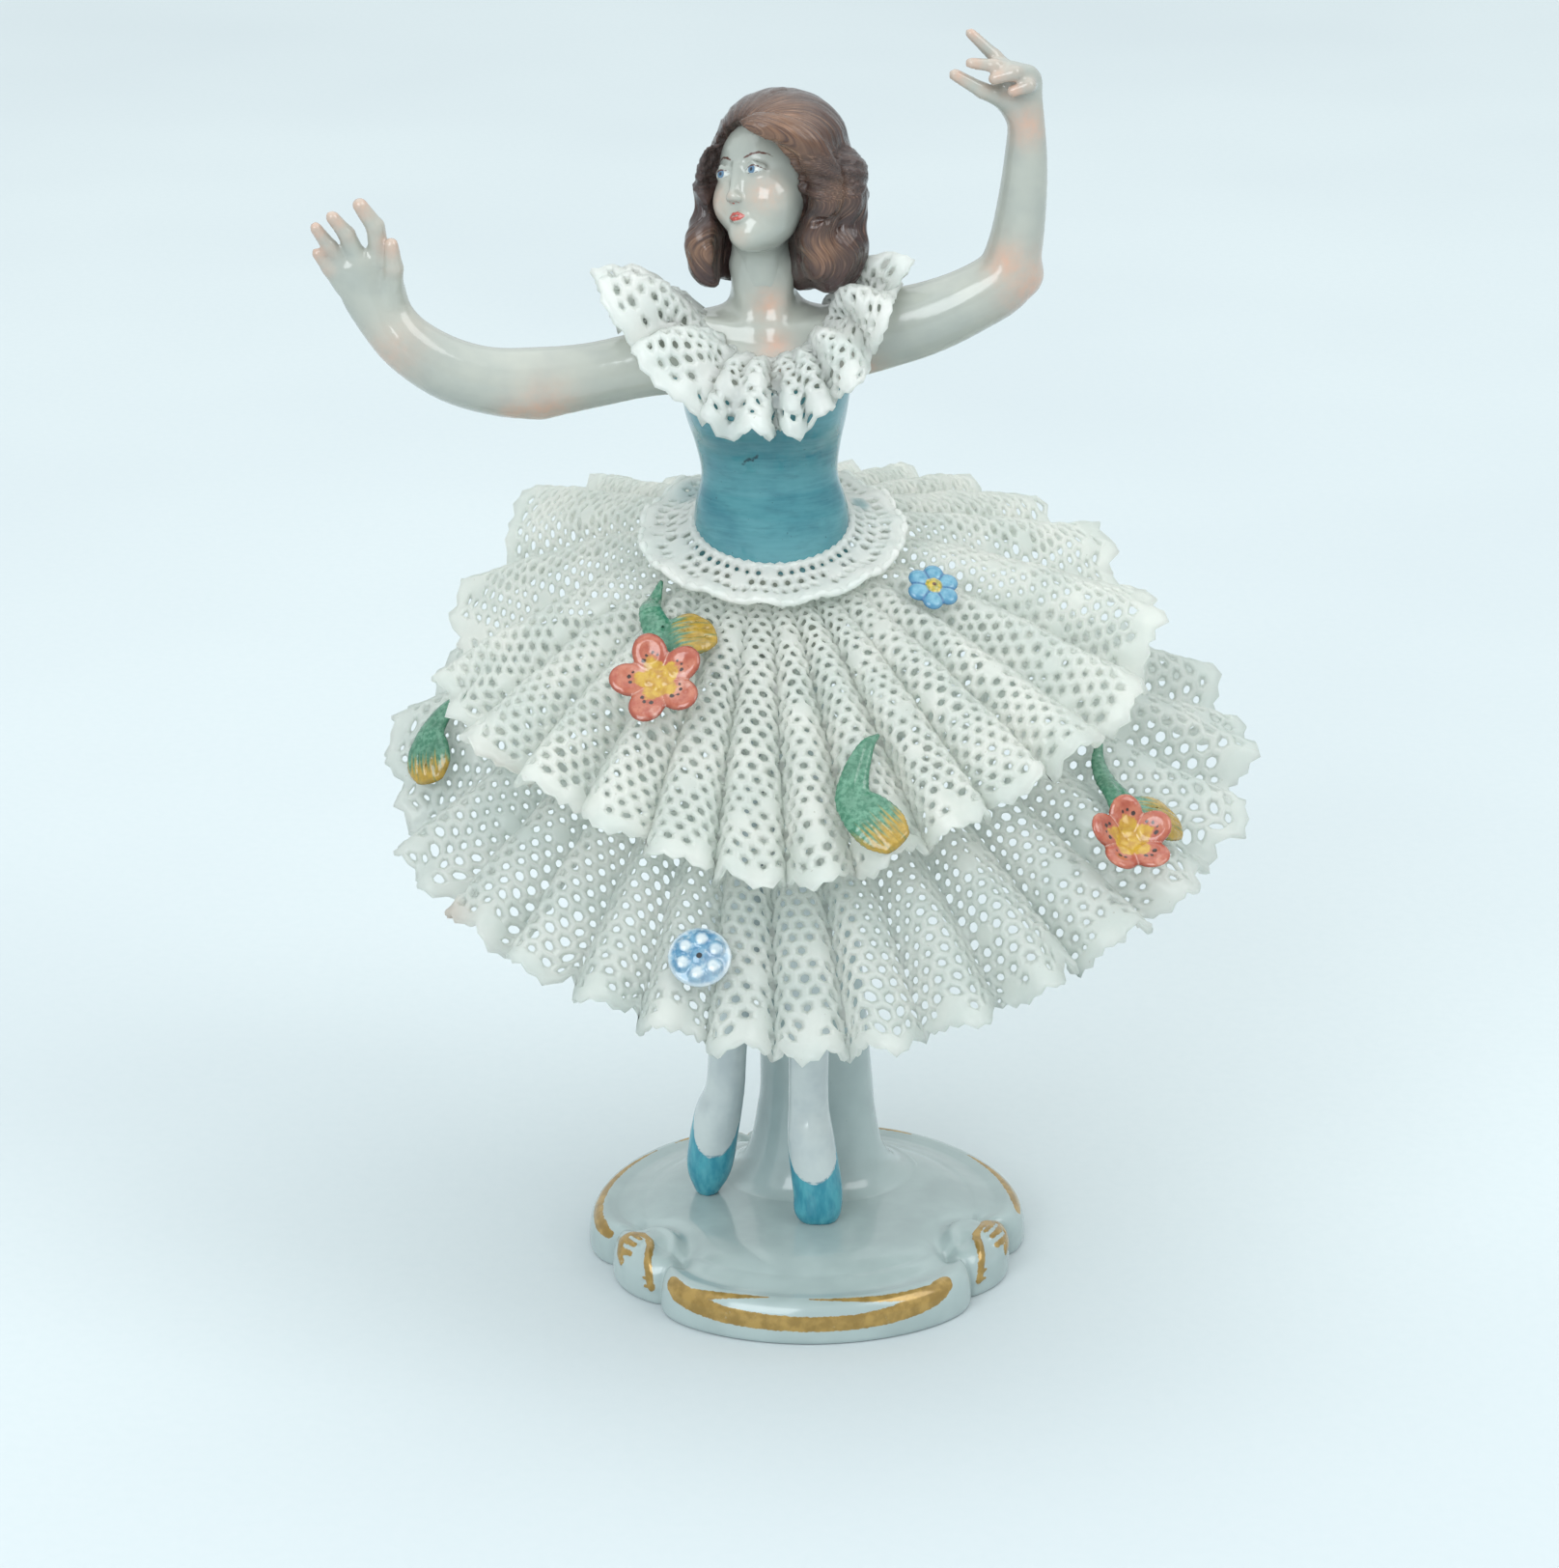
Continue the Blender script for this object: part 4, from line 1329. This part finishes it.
def bent_leaf(node, skirt, degrees, down, stem_turn, stem_share, bulb_turn, bulb_share, ripe=0.0):
    """A leaf or bud that follows the lace: a pointed stem and a round bulb that meet in a bend."""
    mean = skirt["mean"]
    base_angle, at = np.array(math.radians(degrees)), np.array(float(down))
    from_waist = np.linalg.norm(mean(base_angle, at * 0) - mean(base_angle, at * 0 + 1))
    radius = np.hypot(*mean(base_angle, at)[:2])
    stem, bulb = 8.0 * stem_share, 5.3 * bulb_share
    half = 0.65

    def station(turn, reach, width, thick):
        turn = math.radians(turn)
        angle = base_angle + reach * math.cos(turn) / radius
        place = at - reach * math.sin(turn) / from_waist
        rise = crest_on(skirt, angle, place, 0.6 * leaf_width) + half + 0.25
        centre = mean(angle, place) + normals_of(mean, angle, place) * rise
        return [*centre, half * thick, width * leaf_width]

    stations = [
        station(stem_turn, stem, 0.05, 0.4), station(stem_turn + 5, 0.78 * stem, 0.14, 0.7),
        station(stem_turn + 8, 0.5 * stem, 0.22, 0.9), station(stem_turn + 4, 0.22 * stem, 0.28, 1.0),
        station(bulb_turn, 0.12 * bulb, 0.36, 1.1), station(bulb_turn, 0.4 * bulb, 0.48, 1.3),
        station(bulb_turn, 0.72 * bulb, 0.5, 1.25), station(bulb_turn, 0.98 * bulb, 0.34, 0.95),
    ]
    path = np.array(stations)
    normal = normals_of(mean, base_angle, at)
    grid = new_grid(path[:, :3].min(0) - 4.2, path[:, :3].max(0) + 4.2, 0.2)
    join_limb(grid, stations, normal, 26, blend=0.1)

    # Veins are scored with a needle while the paste is soft: three on the bulb, one along the stem.
    scored = normal * 0.62
    bulb_start, bulb_end = path[5, :3], path[7, :3]
    run = bulb_end - bulb_start
    side = np.cross(normal, run / np.linalg.norm(run))
    for share in (-0.55, 0.0, 0.5):
        start = bulb_start - 0.3 * run + scored * 1.5 + side * share * 1.2
        end = bulb_end + scored * 1.1 + side * share * 2.6
        cut_away(grid, rod(start, end, 0.12, 0.1), 0.25)
    cut_away(grid, rod(path[1, :3] + scored * 0.75, path[4, :3] + scored * 1.5, 0.1, 0.14), 0.3)

    points, faces = netted(grid)
    line = smooth_line(stations, 80)
    gaps = np.linalg.norm(points[:, None] - line[None, :, :3], axis=2)
    nearest = gaps.argmin(1)
    tangent = np.gradient(line[:, :3], axis=0)[nearest]
    side = np.cross(normal, tangent)
    side /= np.linalg.norm(side, axis=1, keepdims=True)
    offset = ((points - line[nearest, :3]) * side).sum(1)
    masks = {"along": nearest / 79 + ripe, "offset": offset}
    return link_mesh(f"{node}_trim", points, faces, node, masks)


# How far a coral flower's middle stands above the crests that its paste sinks into.
coral_lift = 1.15
coral_left = coral_flower("coral_flower_left", upper, 238.4, 0.535, coral_lift, 14)
coral_right = coral_flower("coral_flower_right", lower, 322.2, 0.84, coral_lift, 30)

# Coral is dabbed on the petals, paler and pinker where the brush ran dry and between the petals,
# darker at the rims; yellow fills the middle, each petal has a few dark dots, and the dab of paste
# below is left white.
coral_glaze, tree, mm = new_material("coral flower paint")
colour = laid_on(tree, "#9E4A36", "#B16A52", patches(tree, mm, 1.3, 0.3, 0.7))
colour = laid_on(tree, colour, "#923F2B", patches(tree, mm, 0.45, 0.5, 0.75, 0.0, 0.5))
colour = laid_on(tree, colour, "#833725", graded(tree, "rim", 1.7, 2.1, 0.0, 0.65))
colour = laid_on(tree, colour, "#D9B5A6", patches(tree, mm, 2.2, 0.56, 0.78, 0.0, 0.5))
colour = laid_on(tree, colour, "#CFAA98", graded(tree, "gap", 0.03, 0.3, 0.45, 0.0))
yellow = laid_on(tree, "#BC9833", "#A67925", patches(tree, mm, 0.9, 0.35, 0.7))
colour = laid_on(tree, colour, yellow, painted(tree, mm, "yellow", 0.25, ragged=0.3))
colour = laid_on(tree, colour, "#33211C", painted(tree, mm, "dots", 0.06, ragged=0.05, grain=0.4))
colour = laid_on(tree, colour, "#E4E6E2", painted(tree, mm, "paste", 0.2, ragged=0.15))
glazed(tree, mm, colour, roughness=0.16, coat=0.5)
for piece in (coral_left, coral_right):
    piece.data.materials.append(coral_glaze)

blue_upper = blue_flower("blue_flower_upper", upper, 332.4, 0.295, 0.3, False)
blue_lower = blue_flower("blue_flower_lower", lower, 252.8, 0.82, 0.0, True)

# The upper blossom is sky blue with darker clefts and petal rims and an olive-yellow eye.
sky_glaze, tree, mm = new_material("sky blue flower paint")
colour = laid_on(tree, "#4B86A2", "#6FA2B6", patches(tree, mm, 1.0, 0.3, 0.7))
colour = laid_on(tree, colour, "#295980", graded(tree, "between", 0.1, 0.7, 0.85, 0.0))
colour = laid_on(tree, colour, "#376B96", graded(tree, "petal", 0.75, 1.25, 0.0, 0.6))
eye = laid_on(tree, "#C2A83E", "#8C8A3C", patches(tree, mm, 0.5, 0.4, 0.6))
colour = laid_on(tree, colour, eye, painted(tree, mm, "middle", 0.12, ragged=0.1))
colour = laid_on(tree, colour, "#5A3A28", painted(tree, mm, "dot", 0.08))
colour = laid_on(tree, colour, "#E4E6E2", painted(tree, mm, "paste", 0.2, ragged=0.15))
glazed(tree, mm, colour, roughness=0.15, coat=0.5)
blue_upper.data.materials.append(sky_glaze)

# The lower one is a white disc with a wash of blue round its white petals, thinner on one side and
# at the rim, and a dark dot in the middle.
disc_glaze, tree, mm = new_material("white disc with blue wash")
white = laid_on(tree, "#CDD2D0", "#B7C3C7", patches(tree, mm, 1.2, 0.35, 0.65))
blue = laid_on(tree, "#2F6B90", "#5C8DA8", patches(tree, mm, 0.9, 0.3, 0.7))
wash = [
    graded(tree, "petal", 0.35, 0.85, 0.25, 1.0), graded(tree, "side", -2.0, 3.6, 1.0, 0.7),
    graded(tree, "away", 2.9, 3.4, 1.0, 0.3), patches(tree, mm, 0.7, 0.25, 0.55, 0.45, 1.0),
]
colour = laid_on(tree, white, blue, *wash)
colour = laid_on(tree, colour, "#1D1F22", painted(tree, mm, "dot", 0.06))
glazed(tree, mm, colour, roughness=0.14, coat=0.55)
blue_lower.data.materials.append(disc_glaze)

leaves = [
    bent_leaf("leaf_left", upper, 231, 0.37, 136, 1.22, 35, 1.25, 0.12),
    bent_leaf("leaf_right", lower, 327.6, 0.775, 36, 1.5, -48, 1.4, 0.12),
    bent_leaf("bud_left", lower, 179.2, 0.84, 118, 0.65, -16, 0.95),
    bent_leaf("bud_front", upper, 280.2, 0.79, 48, 0.95, -66, 1.5),
]

# Green is stippled with the brush tip, so that white glints through, darker along the veins; the
# round end is mustard yellow with green strokes running into it.
leaf_glaze, tree, mm = new_material("green and yellow leaf paint")
colour = laid_on(tree, "#2F6C52", "#5C8E75", patches(tree, mm, 0.55, 0.35, 0.65))
colour = laid_on(tree, colour, "#2A6047", patches(tree, mm, 2.4, 0.35, 0.7, 0.0, 0.5))
along = add(tree, "Attribute", attribute_name="along").outputs["Fac"]
offset = add(tree, "Attribute", attribute_name="offset").outputs["Fac"]
vein = add(tree, "CombineXYZ", {0: offset, 1: along}).outputs[0]
vein = add(tree, "VectorMath", {0: vein, 1: (2.4, 1.5, 0.0)}, operation="MULTIPLY").outputs[0]
streak = add(tree, "TexNoise", {"Vector": vein, "Scale": 1.0, "Detail": 2.0}).outputs["Fac"]
run_in = graded(tree, streak, 0.3, 0.7, -0.08, 0.08)
reach = add(tree, "Math", {0: along, 1: run_in}, operation="ADD").outputs[0]
mustard = laid_on(tree, "#AE8D32", "#917522", patches(tree, mm, 0.8, 0.3, 0.7))
colour = laid_on(tree, colour, mustard, graded(tree, reach, 0.76, 0.92))
dark = graded(tree, streak, 0.56, 0.7, 0.0, 0.55)
colour = laid_on(tree, colour, "#2C6B4B", dark, graded(tree, along, 0.35, 0.6))
glazed(tree, mm, colour, roughness=0.17, coat=0.5)
for piece in leaves:
    piece.data.materials.append(leaf_glaze)

# SETTING: a pale, seamless floor under soft daylight from the front and above; it isn't part of
# the figurine. The paper is slightly blue and very finely mottled.
floor_paper, tree, mm = new_material("pale blue paper")
paper = laid_on(tree, "#CAD2D4", "#C4CCCF", patches(tree, mm, 260.0, 0.3, 0.7))
paper = laid_on(tree, paper, "#B9C6CA", patches(tree, mm, 1.5, 0.3, 0.75, 0.0, 0.12))
matt = {"Base Color": paper, "Roughness": 0.75, "Specular IOR Level": 0.15}
add(tree, "OutputMaterial", {"Surface": add(tree, "BsdfPrincipled", matt).outputs[0]})
floor_size = 9.0
corner = floor_size / 2
corners = [(-corner, -corner, 0), (corner, -corner, 0), (corner, corner, 0), (-corner, corner, 0)]
mesh = bpy.data.meshes.new("floor")
mesh.from_pydata(corners, [], [(0, 1, 2, 3)])
floor = bpy.data.objects.new("floor", mesh)
bpy.context.scene.collection.objects.link(floor)
floor.data.materials.append(floor_paper)

# Lamps: [place, size, power, colour], each aimed at the figurine's waist.
aim = Vector((-0.003, 0, 0.07))
lamps = [
    [(-0.6, -1.2, 0.85), 0.9, 11.5, "#F6FBFF"],
    [(0.95, -0.55, 1.05), 0.8, 5.8, "#FFFFFF"],
    [(0.0, 0.2, 1.1), 1.6, 4.2, "#FAFFFF"],
]
for index, (place, size, power, colour) in enumerate(lamps):
    data = bpy.data.lights.new(f"softbox_{index}", "AREA")
    data.shape = "SQUARE"
    data.size = size
    data.energy = power
    data.color = linear(colour)[:3]
    lamp = bpy.data.objects.new(data.name, data)
    lamp.location = place
    lamp.rotation_euler = (aim - Vector(place)).to_track_quat("-Z", "Y").to_euler()
    bpy.context.scene.collection.objects.link(lamp)
world = bpy.data.worlds.new("daylight")
world.use_nodes = True
sky = world.node_tree.nodes["Background"]
sky.inputs["Color"].default_value = linear("#EEF5F7")
overhead = add(world.node_tree, "TexCoord").outputs["Generated"]
overhead = add(world.node_tree, "SeparateXYZ", {0: overhead}).outputs["Z"]
overhead = add(world.node_tree, "MapRange", {"Value": overhead, "To Min": 0.76, "To Max": 1.23})
world.node_tree.links.new(overhead.outputs["Result"], sky.inputs["Strength"])
bpy.context.scene.world = world
bpy.context.scene.view_settings.view_transform = "Standard"

# Camera: a little above the figurine, looking straight at it from the front. Its lens follows from
# the focal length that was solved for the picture and the picture's height, both in pixels.
picture_height = 1624
focal_length = 4944
target = Vector((-0.00347, 0.0, 0.05985))
distance = 0.56
elevation = math.radians(20.5)
camera_data = bpy.data.cameras.new("camera")
camera_data.sensor_fit = "VERTICAL"
camera_data.sensor_height = 36.0
camera_data.lens = camera_data.sensor_height * focal_length / picture_height
camera = bpy.data.objects.new("camera", camera_data)
camera.location = target + distance * Vector((0.0, -math.cos(elevation), math.sin(elevation)))
camera.rotation_euler = (math.pi / 2 - elevation, 0.0, 0.0)
bpy.context.scene.collection.objects.link(camera)
bpy.context.scene.camera = camera
